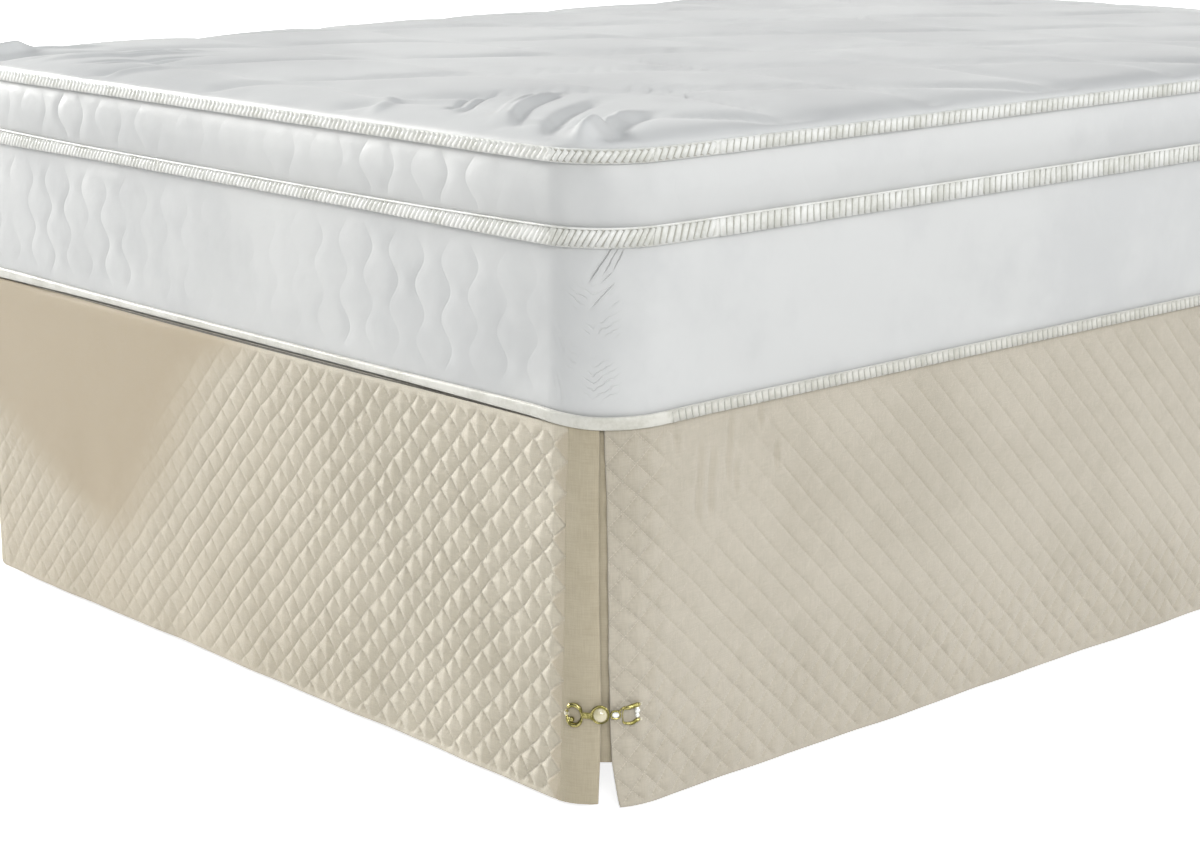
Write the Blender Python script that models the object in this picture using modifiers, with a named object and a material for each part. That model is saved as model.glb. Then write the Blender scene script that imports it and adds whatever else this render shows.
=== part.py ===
"""Quilted bed skirt with a ring clasp across each foot corner, hung on a plain bed.

Metres, +Z up. The origin lies on the floor under the middle of the bed. The bed's
length runs along Y and its foot end faces -Y. "Along" is a distance measured on the
skirt's outer face, from the middle of the foot end round a corner towards the head.
"Outward" is measured square to that face, away from the bed.
"""
import math

import bmesh
import bpy
from mathutils import Matrix, Vector

# ---- Skirt ----
SKIRT_WIDTH = 1.380
SKIRT_LENGTH = 1.880
CORNER_RADIUS = 0.090
HEM_HEIGHT = 0.010
SKIRT_TOP = 0.4398
QUILT_THICKNESS = 0.0045
PLAIN_THICKNESS = 0.002
BAND_INSET = 0.0015          # the plain band lies this far behind the quilted face
SEAM_GAP = 0.0005            # between the quilted panel's end and the plain band
SIDE_HEAD_END = 0.930        # Y of the side panels' plain ends at the head
CONTACT_GAP = 0.0003

# ---- Deck, the cloth between base and mattress that the panels are sewn to ----
DECK_THICKNESS = 0.0015
DECK_EDGE_GAP = 0.0004
DECK_HEAD_RADIUS = 0.004

# ---- Corner underlay, hung behind the split ----
UNDERLAY_INSET = 0.006       # behind the skirt's outer face
UNDERLAY_HALF_WIDTH = 0.047
UNDERLAY_BOTTOM = 0.0585

# ---- Bed ----
BASE_WIDTH = 1.362
BASE_LENGTH = 1.862
BASE_FOOT_RADIUS = 0.120
BASE_HEAD_RADIUS = 0.020
BASE_BOTTOM = 0.130
BASE_EDGE_ROUND = 0.004
LEG_SIDE = 0.560             # X of the legs
LEG_END = 0.740              # Y of the outer rows of legs
LEG_TOP_RADIUS = 0.030
LEG_FOOT_RADIUS = 0.022
LEG_FACETS = 20
MATTRESS_RADIUS = 0.090

# Mattress outline, from the underside up to its crown.
MATTRESS_PROFILE = (
    # inset, height
    (0.0120, 0.4401),
    (0.0050, 0.4420),
    (0.0036, 0.4480),
    (0.0036, 0.4562),
    (0.0012, 0.5000),
    (0.0002, 0.5450),
    (0.0012, 0.5900),
    (0.0034, 0.6300),
    (0.0036, 0.6420),
    (0.0034, 0.6540),
    (0.0006, 0.6680),
    (-0.0014, 0.6860),
    (0.0004, 0.7060),
    (0.0034, 0.7190),
    (0.0040, 0.7280),
    (0.0060, 0.7370),
    (0.0180, 0.7440),
    (0.0450, 0.7505),
    (0.1000, 0.7550),
    (0.2200, 0.7580),
)
TAPES = (
    # name, middle height, width
    ("mattress_tape_bottom", 0.4488, 0.0145),
    ("mattress_tape_middle", 0.6420, 0.0220),
    ("mattress_tape_top", 0.7280, 0.0160),
)
TAPE_SECTION = (
    # inset, share of half the width
    (0.0031, -1.0),
    (-0.0006, -0.7),
    (-0.0016, 0.0),
    (-0.0006, 0.7),
    (0.0031, 1.0),
)

# The split at a foot corner opens towards the hem. A row gives, at its height, how far
# the band's edge and the side panel's edge stand back from the corner's middle, and how
# far from it the band is sewn to the foot panel.
SPLIT_ROWS = (
    # height, band_edge, side_edge, seam
    (0.010, 0.0065, 0.0165, 0.0560),
    (0.020, 0.0062, 0.0135, 0.0545),
    (0.060, 0.0045, 0.0080, 0.0500),
    (0.125, 0.0030, 0.0062, 0.0480),
    (0.250, 0.0048, 0.0050, 0.0440),
    (0.350, 0.0045, 0.0042, 0.0425),
    (0.414, 0.0036, 0.0020, 0.0390),
    (0.440, 0.0030, 0.0010, 0.0385),
)
BAND_EDGE, SIDE_EDGE, SEAM = 1, 2, 3

# Soft waves of the hanging cloth, at full size at the hem.
WAVES = (
    # amplitude, wavelength, phase
    (0.0013, 0.520, 0.4),
    (0.0008, 0.230, 1.9),
    (0.0004, 0.110, 0.7),
)
WAVE_MEAN = 0.0022
WAVE_FADE = 1.3
FLARE_SIDE = 0.005           # swing of the side panel's free corner below the clasp
FLARE_BAND = 0.001
FLARE_REACH = 0.045
BAND_HEM_LIFT = 0.003        # rise of the band's hem towards the split
SIDE_PHASES = {1: 0.0, -1: 2.1}

# ---- Clasp ----
CLASP_HEIGHT = 0.118
RING_STEPS = 20
CLASP_RINGS = (
    # name, offset from the corner's middle, outward, half width, half height, wire, square
    ("clasp_end_ring", -0.0368, 0.0005, 0.0105, 0.0138, 0.0017, 2.0),
    ("clasp_centre_ring", -0.0042, 0.0019, 0.0109, 0.0113, 0.0015, 2.0),
    ("clasp_link", 0.0123, 0.0016, 0.0061, 0.0054, 0.0012, 2.0),
    ("clasp_square_ring", 0.0296, 0.0023, 0.0116, 0.0135, 0.0019, 4.0),
)
CLASP_DOMES = (
    # name, offset, outward, half width, half height, rise, back
    ("clasp_pearl", -0.0042, 0.0019, 0.0075, 0.0079, 0.0048, 0.0012),
    ("clasp_stone", 0.0123, 0.0016, 0.0033, 0.0026, 0.0024, 0.0010),
)
CLASP_BAR = (-0.0207, 0.0010, Vector((0.0120, 0.0066, 0.0022)))

# ---- Mesh detail ----
ROUND_STEPS = 6              # straight pieces in a quarter turn of a corner
FOOT_COLUMNS = 24
TURN_COLUMNS = 7             # of a side panel between the split and its straight part
SIDE_COLUMNS = 28
SIDE_COLUMN_EASE = 1.25      # packs the straight part's columns towards the corner
BAND_COLUMNS = 7
UNDERLAY_COLUMNS = 8
HEM_ROWS = (0.0, 0.018, 0.05)
PANEL_ROWS = 10
SHARP_ANGLE = math.radians(40)
WELD_DISTANCE = 0.0001

STRAIGHT = SKIRT_WIDTH / 2 - CORNER_RADIUS
CORNER_LENGTH = CORNER_RADIUS * math.pi / 2
CORNER_MIDDLE = STRAIGHT + CORNER_LENGTH / 2
SIDE_END = STRAIGHT + CORNER_LENGTH + SIDE_HEAD_END + SKIRT_LENGTH / 2 - CORNER_RADIUS


def make_material(name, colour, roughness, metallic=0.0):
    """Principled material with one plain colour."""
    material = bpy.data.materials.new(name)
    material.use_nodes = True
    shader = material.node_tree.nodes["Principled BSDF"]
    shader.inputs["Base Color"].default_value = (*colour, 1.0)
    shader.inputs["Roughness"].default_value = roughness
    shader.inputs["Metallic"].default_value = metallic
    return material


def add_object(name, data, material, collection):
    """Object with one material, linked to the collection."""
    data.materials.append(material)
    obj = bpy.data.objects.new(name, data)
    collection.objects.link(obj)
    return obj


def finish_mesh(bm, name):
    """Mesh from a bmesh, shaded smooth up to the sharp angle."""
    mesh = bpy.data.meshes.new(name)
    bm.to_mesh(mesh)
    bm.free()
    mesh.shade_smooth()
    mesh.set_sharp_from_angle(angle=SHARP_ANGLE)
    return mesh


# ---- The hanging surface ----

def split_value(height, column):
    """One column of SPLIT_ROWS at a height, blended between its rows."""
    if height <= SPLIT_ROWS[0][0]:
        return SPLIT_ROWS[0][column]
    for low, high in zip(SPLIT_ROWS, SPLIT_ROWS[1:]):
        if height <= high[0]:
            blend = (height - low[0]) / (high[0] - low[0])
            return low[column] + blend * (high[column] - low[column])
    return SPLIT_ROWS[-1][column]


def skirt_point(along, outward, height, side=1):
    """Point on or off the skirt's outer face, on the right (1) or left (-1) half."""
    radius = CORNER_RADIUS + outward
    straight_y = SKIRT_LENGTH / 2 - CORNER_RADIUS
    if along <= STRAIGHT:
        x, y = along, -straight_y - radius
    elif along <= STRAIGHT + CORNER_LENGTH:
        turn = (along - STRAIGHT) / CORNER_RADIUS
        x = STRAIGHT + radius * math.sin(turn)
        y = -straight_y - radius * math.cos(turn)
    else:
        x = STRAIGHT + radius
        y = along - STRAIGHT - CORNER_LENGTH - straight_y
    return Vector((side * x, y, height))


def swing(along, height, phase=0.0):
    """Outward swing of the hanging cloth: nothing at the top, soft waves at the hem."""
    drop = max((SKIRT_TOP - height) / (SKIRT_TOP - HEM_HEIGHT), 0.0)
    wave = sum(size * math.sin(2 * math.pi * along / length + start + phase)
               for size, length, start in WAVES)
    return (WAVE_MEAN + wave) * drop ** WAVE_FADE


def flare(size, distance, height):
    """Outward kick of a free corner below the clasp that holds the split together."""
    below = max((CLASP_HEIGHT - height) / (CLASP_HEIGHT - HEM_HEIGHT), 0.0)
    return size * below ** 1.5 * math.exp(-(distance / FLARE_REACH) ** 2)


def row_height(row, bottom=HEM_HEIGHT, top=SKIRT_TOP):
    """Height of a row given as a share of the drop."""
    return bottom + row * (top - bottom)


def place_on_foot(column, row):
    """Point of the quilted foot panel, from its left seam to its right seam."""
    height = row_height(row)
    half = CORNER_MIDDLE - split_value(height, SEAM)
    along = (2 * column - 1) * half
    side = math.copysign(1, along)
    kick = flare(FLARE_BAND, CORNER_MIDDLE - abs(along), height)
    return skirt_point(abs(along), swing(along, height) + kick, height, side)


def place_on_band(column, row, side):
    """Point of a plain band, from its seam with the foot panel to the split."""
    height = row_height(row)
    seam = CORNER_MIDDLE - split_value(height, SEAM) + SEAM_GAP
    edge = CORNER_MIDDLE - split_value(height, BAND_EDGE)
    along = seam + column * (edge - seam)
    outward = swing(side * along, height) - BAND_INSET
    outward += flare(FLARE_BAND, CORNER_MIDDLE - along, height)
    lift = BAND_HEM_LIFT * column ** 2 * (1 - row)
    return skirt_point(along, outward, height + lift, side)


def place_on_side(column, row, side):
    """Point of a quilted side panel, from the split to its plain end at the head."""
    height = row_height(row)
    edge = CORNER_MIDDLE + split_value(height, SIDE_EDGE)
    along = edge + column * (SIDE_END - edge)
    outward = swing(side * along, height, SIDE_PHASES[side] * column)
    outward += flare(FLARE_SIDE, along - CORNER_MIDDLE, height)
    return skirt_point(along, outward, height, side)


def place_on_underlay(column, row, side):
    """Point of the underlay strip, which turns the corner behind the split."""
    top = SKIRT_TOP - DECK_THICKNESS - CONTACT_GAP
    along = CORNER_MIDDLE + (2 * column - 1) * UNDERLAY_HALF_WIDTH
    return skirt_point(along, -UNDERLAY_INSET, row_height(row, UNDERLAY_BOTTOM, top), side)


def even_steps(count):
    """Shares 0 to 1 in even steps."""
    return [step / count for step in range(count + 1)]


def drop_rows():
    """Rows of a panel as shares of its drop, close together at the hem."""
    first = HEM_ROWS[-1]
    return list(HEM_ROWS) + [first + (1 - first) * share for share in even_steps(PANEL_ROWS)[1:]]


def foot_columns():
    """Columns of the foot panel, close together where its ends turn the corners."""
    half = CORNER_MIDDLE - SPLIT_ROWS[-1][SEAM]
    turned = [STRAIGHT / half + (1 - STRAIGHT / half) * share for share in even_steps(3)[1:]]
    right = [share * STRAIGHT / half for share in even_steps(FOOT_COLUMNS // 2)] + turned
    shares = [-share for share in reversed(right[1:])] + right
    return [(share + 1) / 2 for share in shares]


def side_columns():
    """Columns of a side panel, close together where it turns the corner."""
    turned = CORNER_LENGTH / 2 / (SIDE_END - CORNER_MIDDLE)
    corner = [share * turned for share in even_steps(TURN_COLUMNS)]
    rest = [turned + (1 - turned) * share ** SIDE_COLUMN_EASE
            for share in even_steps(SIDE_COLUMNS)[1:]]
    return corner + rest


def draped_sheet(name, columns, rows, place, thickness, material, collection):
    """Sheet of cloth: a grid laid on its hanging surface and thickened inwards."""
    bm = bmesh.new()
    bmesh.ops.create_grid(bm, x_segments=len(columns) - 1, y_segments=len(rows) - 1, size=0.5)
    for vert in bm.verts:
        column = columns[round((vert.co.x + 0.5) * (len(columns) - 1))]
        row = rows[round((vert.co.y + 0.5) * (len(rows) - 1))]
        vert.co = place(column, row)
    obj = add_object(name, finish_mesh(bm, name), material, collection)
    solidify = obj.modifiers.new("Thickness", "SOLIDIFY")
    solidify.thickness = thickness
    solidify.offset = -1.0
    solidify.use_even_offset = True
    return obj


def handed(place, side):
    """Placing function of one side; the left one runs backwards so that it faces out."""
    if side > 0:
        return lambda column, row: place(column, row, 1)
    return lambda column, row: place(1 - column, row, -1)


def mirrored_columns(columns, side):
    """Columns for one side, so that both sides are divided alike."""
    return columns if side > 0 else [1 - column for column in reversed(columns)]


def build_skirt(quilted, plain, collection):
    """Foot panel, side panels, plain bands and underlays."""
    rows = drop_rows()
    draped_sheet("foot_panel", foot_columns(), rows, place_on_foot, QUILT_THICKNESS,
                 quilted, collection)
    sheets = (
        # name, columns, rows, place, thickness, material
        ("foot_band", even_steps(BAND_COLUMNS), rows, place_on_band, PLAIN_THICKNESS, plain),
        ("side_panel", side_columns(), rows, place_on_side, QUILT_THICKNESS, quilted),
        ("corner_underlay", even_steps(UNDERLAY_COLUMNS), even_steps(6), place_on_underlay,
         PLAIN_THICKNESS, plain),
    )
    for hand, side in (("right", 1), ("left", -1)):
        for name, columns, sheet_rows, place, thickness, material in sheets:
            draped_sheet(f"{name}_{hand}", mirrored_columns(columns, side), sheet_rows,
                         handed(place, side), thickness, material, collection)


# ---- Deck and bed ----

def round_rectangle(half_width, half_length, foot_radius, head_radius):
    """Outline in plan, anticlockwise from the right foot corner."""
    corners = (
        # x sign, y sign, radius, start of the turn
        (1, -1, foot_radius, -90),
        (1, 1, head_radius, 0),
        (-1, 1, head_radius, 90),
        (-1, -1, foot_radius, 180),
    )
    points = []
    for x_sign, y_sign, radius, start in corners:
        steps = max(2, round(ROUND_STEPS * min(radius / CORNER_RADIUS, 1.0)))
        for share in even_steps(steps):
            turn = math.radians(start + 90 * share)
            points.append((x_sign * (half_width - radius) + radius * math.cos(turn),
                           y_sign * (half_length - radius) + radius * math.sin(turn)))
    return points


def flat_outline(name, points, bottom, thickness, material, collection):
    """Flat piece with a plan outline, from its underside up."""
    curve = bpy.data.curves.new(name, "CURVE")
    curve.dimensions = "2D"
    curve.fill_mode = "BOTH"
    curve.extrude = thickness / 2
    spline = curve.splines.new("POLY")
    spline.points.add(len(points) - 1)
    for point, (x, y) in zip(spline.points, points):
        point.co = (x, y, 0.0, 1.0)
    spline.use_cyclic_u = True
    obj = add_object(name, curve, material, collection)
    obj.location.z = bottom + thickness / 2
    return obj


def build_deck(material, collection):
    """Deck cloth: reaches the panels' inner faces all round, straight at the head."""
    inset = QUILT_THICKNESS + DECK_EDGE_GAP
    head = SIDE_HEAD_END
    foot = SKIRT_LENGTH / 2 - inset
    outline = round_rectangle(SKIRT_WIDTH / 2 - inset, (foot + head) / 2,
                              CORNER_RADIUS - inset, DECK_HEAD_RADIUS)
    deck = flat_outline("deck", outline, SKIRT_TOP - DECK_THICKNESS, DECK_THICKNESS,
                        material, collection)
    deck.location.y = (head - foot) / 2


def build_base(material, collection):
    """Closed box base with round foot corners and softened edges."""
    top = SKIRT_TOP - DECK_THICKNESS - CONTACT_GAP
    outline = round_rectangle(BASE_WIDTH / 2, BASE_LENGTH / 2, BASE_FOOT_RADIUS,
                              BASE_HEAD_RADIUS)
    base = flat_outline("bed_base", outline, BASE_BOTTOM + CONTACT_GAP,
                        top - BASE_BOTTOM - CONTACT_GAP, material, collection)
    weld = base.modifiers.new("Weld caps", "WELD")
    weld.merge_threshold = WELD_DISTANCE
    bevel = base.modifiers.new("Soft edges", "BEVEL")
    bevel.width = BASE_EDGE_ROUND
    bevel.segments = 2
    bevel.limit_method = "ANGLE"
    bevel.angle_limit = math.radians(60)


def build_legs(material, collection):
    """Six tapered legs under the base, with flat feet on the floor."""
    places = [(side * LEG_SIDE, row * LEG_END) for row in (-1, 0, 1) for side in (-1, 1)]
    for number, (x, y) in enumerate(places, start=1):
        bm = bmesh.new()
        bmesh.ops.create_cone(bm, cap_ends=True, segments=LEG_FACETS, radius1=LEG_FOOT_RADIUS,
                              radius2=LEG_TOP_RADIUS, depth=BASE_BOTTOM)
        name = f"bed_leg_{number}"
        leg = add_object(name, finish_mesh(bm, name), material, collection)
        leg.location = (x, y, BASE_BOTTOM / 2)


def add_ring(bm, inset, height):
    """Closed loop of edges round the mattress, at an inset from its nominal size."""
    radius = MATTRESS_RADIUS - min(inset, MATTRESS_RADIUS / 2)
    points = round_rectangle(SKIRT_WIDTH / 2 - inset, SKIRT_LENGTH / 2 - inset, radius, radius)
    verts = [bm.verts.new((x, y, height)) for x, y in points]
    return [bm.edges.new(pair) for pair in zip(verts, verts[1:] + verts[:1])]


def build_mattress(ticking, tape, collection):
    """Mattress body as a loft through its profile, and the tapes over its seams."""
    bm = bmesh.new()
    rings = [add_ring(bm, inset, height) for inset, height in MATTRESS_PROFILE]
    for lower, upper in zip(rings, rings[1:]):
        bmesh.ops.bridge_loops(bm, edges=lower + upper)
    for ring in (rings[0], rings[-1]):
        bmesh.ops.contextual_create(bm, geom=ring)
    bmesh.ops.recalc_face_normals(bm, faces=bm.faces[:])
    add_object("mattress", finish_mesh(bm, "mattress"), ticking, collection)

    for name, middle, width in TAPES:
        bm = bmesh.new()
        rings = [add_ring(bm, inset, middle + share * width / 2)
                 for inset, share in TAPE_SECTION]
        for lower, upper in zip(rings, rings[1:] + rings[:1]):
            bmesh.ops.bridge_loops(bm, edges=lower + upper)
        bmesh.ops.recalc_face_normals(bm, faces=bm.faces[:])
        add_object(name, finish_mesh(bm, name), tape, collection)


# ---- Clasp ----

def clasp_frame(offset, outward, side):
    """Frame on the cloth at the clasp's height: X along the skirt, Y up, Z outward."""
    along = CORNER_MIDDLE + offset
    turn = (along - STRAIGHT) / CORNER_RADIUS
    normal = Vector((side * math.sin(turn), -math.cos(turn), 0.0))
    up = Vector((0.0, 0.0, 1.0))
    place = skirt_point(along, outward + swing(side * along, CLASP_HEIGHT), CLASP_HEIGHT, side)
    turned = Matrix((up.cross(normal), up, normal)).transposed().to_4x4()
    return Matrix.Translation(place) @ turned


def wire_ring(name, half_width, half_height, wire, square, material, collection):
    """Closed wire of round section, oval (2) to squarish (4)."""
    curve = bpy.data.curves.new(name, "CURVE")
    curve.dimensions = "3D"
    curve.bevel_depth = wire
    curve.bevel_resolution = 2
    spline = curve.splines.new("POLY")
    spline.points.add(RING_STEPS - 1)
    for step, point in enumerate(spline.points):
        turn = 2 * math.pi * (step + 0.5) / RING_STEPS
        reach = [math.copysign(abs(part) ** (2 / square), part)
                 for part in (math.cos(turn), math.sin(turn))]
        point.co = ((half_width - wire) * reach[0], (half_height - wire) * reach[1], 0.0, 1.0)
    spline.use_cyclic_u = True
    return add_object(name, curve, material, collection)


def dome(name, half_width, half_height, rise, back, material, collection):
    """Domed stone or pearl with a shallow back."""
    bm = bmesh.new()
    bmesh.ops.create_uvsphere(bm, u_segments=RING_STEPS, v_segments=8, radius=1.0)
    for vert in bm.verts:
        depth = rise if vert.co.z > 0 else back
        vert.co = (vert.co.x * half_width, vert.co.y * half_height, vert.co.z * depth)
    return add_object(name, finish_mesh(bm, name), material, collection)


def build_clasp(hand, side, metal, pearl, crystal, collection):
    """Row of linked rings across one split, with a pearl and a small stone."""
    for name, offset, outward, half_width, half_height, wire, square in CLASP_RINGS:
        ring = wire_ring(f"{name}_{hand}", half_width, half_height, wire, square, metal,
                         collection)
        ring.matrix_world = clasp_frame(offset, outward, side)
    finishes = {"clasp_pearl": pearl, "clasp_stone": crystal}
    for name, offset, outward, half_width, half_height, rise, back in CLASP_DOMES:
        stone = dome(f"{name}_{hand}", half_width, half_height, rise, back, finishes[name],
                     collection)
        stone.matrix_world = clasp_frame(offset, outward, side)
    offset, outward, size = CLASP_BAR
    bm = bmesh.new()
    bmesh.ops.create_cube(bm, size=1.0, matrix=Matrix.Diagonal((*size, 1.0)))
    bmesh.ops.bevel(bm, geom=bm.edges[:], offset=size.z / 4, segments=1, affect="EDGES")
    name = f"clasp_bar_{hand}"
    bar = add_object(name, finish_mesh(bm, name), metal, collection)
    bar.matrix_world = clasp_frame(offset, outward, side)


def main():
    """Clear the scene and build the bed skirt on its bed."""
    for obj in list(bpy.data.objects):
        bpy.data.objects.remove(obj, do_unlink=True)
    collection = bpy.data.collections.new("Bed skirt on a bed")
    bpy.context.scene.collection.children.link(collection)

    quilted = make_material("quilted cloth", (0.60, 0.54, 0.43), 0.75)
    plain = make_material("plain cloth", (0.48, 0.42, 0.29), 0.80)
    deck_cloth = make_material("deck cloth", (0.70, 0.67, 0.60), 0.85)
    ticking = make_material("mattress ticking", (0.80, 0.81, 0.82), 0.70)
    tape = make_material("mattress tape", (0.86, 0.86, 0.85), 0.60)
    base_cloth = make_material("base cover", (0.66, 0.63, 0.57), 0.85)
    wood = make_material("leg wood", (0.30, 0.20, 0.12), 0.55)
    brass = make_material("clasp brass", (0.62, 0.50, 0.20), 0.30, metallic=1.0)
    pearl = make_material("pearl", (0.90, 0.87, 0.78), 0.20)
    crystal = make_material("clear stone", (0.92, 0.92, 0.88), 0.05)

    build_legs(wood, collection)
    build_base(base_cloth, collection)
    build_deck(deck_cloth, collection)
    build_mattress(ticking, tape, collection)
    build_skirt(quilted, plain, collection)
    for hand, side in (("right", 1), ("left", -1)):
        build_clasp(hand, side, brass, pearl, crystal, collection)


main()
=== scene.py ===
"""Quilted bed skirt on a bed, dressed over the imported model.

Metres, +Z up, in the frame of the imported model: the origin lies on the floor under the
middle of the bed, the bed's length runs along Y and its foot end faces -Y. "Along" is a
distance on the skirt's outer face, from the middle of the foot end round a corner towards
the head. "Outward" is measured square to that face, away from the bed.
"""

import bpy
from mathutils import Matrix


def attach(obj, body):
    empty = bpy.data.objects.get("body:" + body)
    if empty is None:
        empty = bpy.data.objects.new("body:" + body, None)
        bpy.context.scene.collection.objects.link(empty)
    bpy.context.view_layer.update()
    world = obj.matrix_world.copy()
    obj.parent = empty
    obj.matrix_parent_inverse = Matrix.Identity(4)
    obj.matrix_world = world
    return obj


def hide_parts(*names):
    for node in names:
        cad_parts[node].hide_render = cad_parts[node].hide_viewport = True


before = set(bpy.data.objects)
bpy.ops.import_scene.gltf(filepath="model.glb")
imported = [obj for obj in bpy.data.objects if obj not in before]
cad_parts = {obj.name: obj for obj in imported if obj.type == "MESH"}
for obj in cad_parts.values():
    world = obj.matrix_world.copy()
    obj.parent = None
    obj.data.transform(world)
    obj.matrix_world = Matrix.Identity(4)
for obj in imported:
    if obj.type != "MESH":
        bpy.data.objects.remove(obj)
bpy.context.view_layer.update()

import logging
import math
from collections.abc import Sequence
from dataclasses import dataclass, field
from enum import Enum

import bmesh
import bpy
import numpy as np
from bpy.types import ID, Material, Mesh, Node, NodeSocket, NodeTree, Object
from mathutils import Matrix, Vector

log = logging.getLogger("bed_skirt")

Array = np.ndarray
Colour = tuple[float, float, float]
Place = tuple[float, float]

BODY = "root"
MM = 0.001

# Wavy sewn lines of the mattress border, and where its foot corners and its sewing lie.
OGEE_PITCH = 0.048
OGEE_SWING = 0.0085
OGEE_LENGTH = 0.066
OGEE_START = 0.510
MATTRESS_CORNER = 0.6707         # distance from the foot's middle, round the outline
BORDER_FOOT = (0.462, 0.480)     # heights between which the border's sewing sets in


class Hand(Enum):
    """Side of the bed, as seen from its foot end."""

    RIGHT = 1
    LEFT = -1

    @property
    def word(self) -> str:
        """Ending of the side's piece and node names."""
        return self.name.lower()


# ---- Small number helpers ----

def smooth(low: float, high: float, value: Array) -> Array:
    """Rises smoothly from 0 at low to 1 at high."""
    share = np.clip((value - low) / (high - low), 0.0, 1.0)
    return share * share * (3.0 - 2.0 * share)


def hump(value: Array, middle: float, reach: float) -> Array:
    """Bell shaped rise of 1 round a middle, with its width given by reach."""
    return np.exp(-((value - middle) / reach) ** 2)


def chance(first: Array, second: Array, key: float) -> Array:
    """Even, repeatable random numbers from 0 to 1 for pairs of whole numbers."""
    mixed = np.sin(first * 12.9898 + second * 78.233 + key * 37.719) * 43758.5453
    return mixed - np.floor(mixed)


def ripple(x: Array, y: Array, length: float, key: float) -> Array:
    """Smooth irregular waves, about -1 to 1, of roughly one wavelength.

    Args:
        x: First coordinate in metres.
        y: Second coordinate in metres.
        length: Typical wavelength in metres.
        key: Number that picks another set of waves.

    Returns:
        The height of the waves at each point.
    """
    total = np.zeros(np.broadcast(x, y).shape)
    for wave in range(5):
        turn = 2.399963 * wave + key
        reach = 2 * math.pi / (length * (0.7 + 0.17 * wave))
        phase = 1.7 * wave + 3.1 * key
        total = total + np.sin(reach * (x * math.cos(turn) + y * math.sin(turn)) + phase)
    return total / 3.0


def between(rows: Sequence[Sequence[float]], at: Array, column: int = 1) -> Array:
    """One column of a list of rows, at places between the rows' first numbers."""
    table = np.array(rows)
    return np.interp(at, table[:, 0], table[:, column])


def catmull(points: Sequence[Place], steps: int) -> Array:
    """Smooth line through points in a plane.

    Args:
        points: Points that the line passes through.
        steps: Straight pieces between each point and the next.

    Returns:
        Array of the line's points, one row each.
    """
    knots = np.array([points[0], *points, points[-1]], float)
    line = []
    for before, start, end, after in zip(knots, knots[1:], knots[2:], knots[3:]):
        for step in range(steps):
            t = step / steps
            line.append(0.5 * (2 * start + (end - before) * t
                               + (2 * before - 5 * start + 4 * end - after) * t ** 2
                               + (3 * start - before - 3 * end + after) * t ** 3))
    line.append(knots[-1])
    return np.array(line)


def respaced(line: Array, spacing: float) -> Array:
    """Points at even distances along an open line.

    Args:
        line: Points of the line, one row each.
        spacing: Wanted distance between points in metres.

    Returns:
        Array of points, both ends included.
    """
    run = np.concatenate([[0.0], np.cumsum(np.linalg.norm(np.diff(line, axis=0), axis=1))])
    wanted = np.linspace(0.0, run[-1], max(2, round(run[-1] / spacing) + 1))
    return np.stack([np.interp(wanted, run, line[:, axis]) for axis in range(line.shape[1])], axis=1)


# ---- Mesh helpers ----

def unit(vectors: Array) -> Array:
    """Vectors scaled to a length of one."""
    return vectors / np.maximum(np.linalg.norm(vectors, axis=-1, keepdims=True), 1e-12)


def new_object(name: str, mesh: Mesh, *materials: Material) -> Object:
    """Object at the origin with its materials, linked to the scene."""
    for material in materials:
        mesh.materials.append(material)
    obj = bpy.data.objects.new(name, mesh)
    bpy.context.scene.collection.objects.link(obj)
    return obj


def mesh_from(name: str, bm: bmesh.types.BMesh) -> Mesh:
    """Mesh that takes over what a working mesh holds."""
    mesh = bpy.data.meshes.new(name)
    bm.to_mesh(mesh)
    bm.free()
    return mesh


def mesh_of(name: str, points: Array, faces: Sequence[Array], closed: bool = True) -> Mesh:
    """Smooth shaded mesh from points and face arrays, with its faces turned outwards.

    Args:
        name: Name of the mesh.
        points: Vertex places, one row each.
        faces: Arrays of triangles or quads, one row of vertex numbers each.
        closed: Whether the faces close a volume, which says which way is out.

    Returns:
        The new mesh.
    """
    triangles = np.concatenate([
        part if part.shape[1] == 3 else np.concatenate([part[:, [0, 1, 2]], part[:, [0, 2, 3]]])
        for part in faces])
    a, b, c = (points[triangles[:, corner]] for corner in range(3))
    inside_out = closed and np.einsum("ij,ij->i", a, np.cross(b, c)).sum() < 0
    rows = [row for part in faces for row in (part[:, ::-1] if inside_out else part).tolist()]
    mesh = bpy.data.meshes.new(name)
    mesh.from_pydata(points.tolist(), [], rows)
    mesh.update()
    mesh.shade_smooth()
    return mesh


def give_uv(mesh: Mesh, name: str, places: Array) -> None:
    """UV map whose coordinates are given for each vertex."""
    layer = mesh.uv_layers.new(name=name)
    corners = np.zeros(len(mesh.loops), np.int32)
    mesh.loops.foreach_get("vertex_index", corners)
    layer.data.foreach_set("uv", places[corners].astype(np.float32).ravel())


def give_value(mesh: Mesh, name: str, values: Array) -> None:
    """Number for each vertex that a material can read by its name."""
    layer = mesh.attributes.new(name, "FLOAT", "POINT")
    layer.data.foreach_set("value", values.astype(np.float32).ravel())


def grid_faces(columns: int, rows: int, first: int = 0) -> Array:
    """Quads of a grid whose points run column by column along each row.

    Args:
        columns: Points in a row.
        rows: Number of rows.
        first: Number of the grid's first vertex.

    Returns:
        Array of quads, anticlockwise with columns to the right and rows upwards.
    """
    column, row = np.meshgrid(np.arange(columns - 1), np.arange(rows - 1))
    corner = (first + row * columns + column).ravel()
    return np.stack([corner, corner + 1, corner + columns + 1, corner + columns], axis=1)


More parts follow.
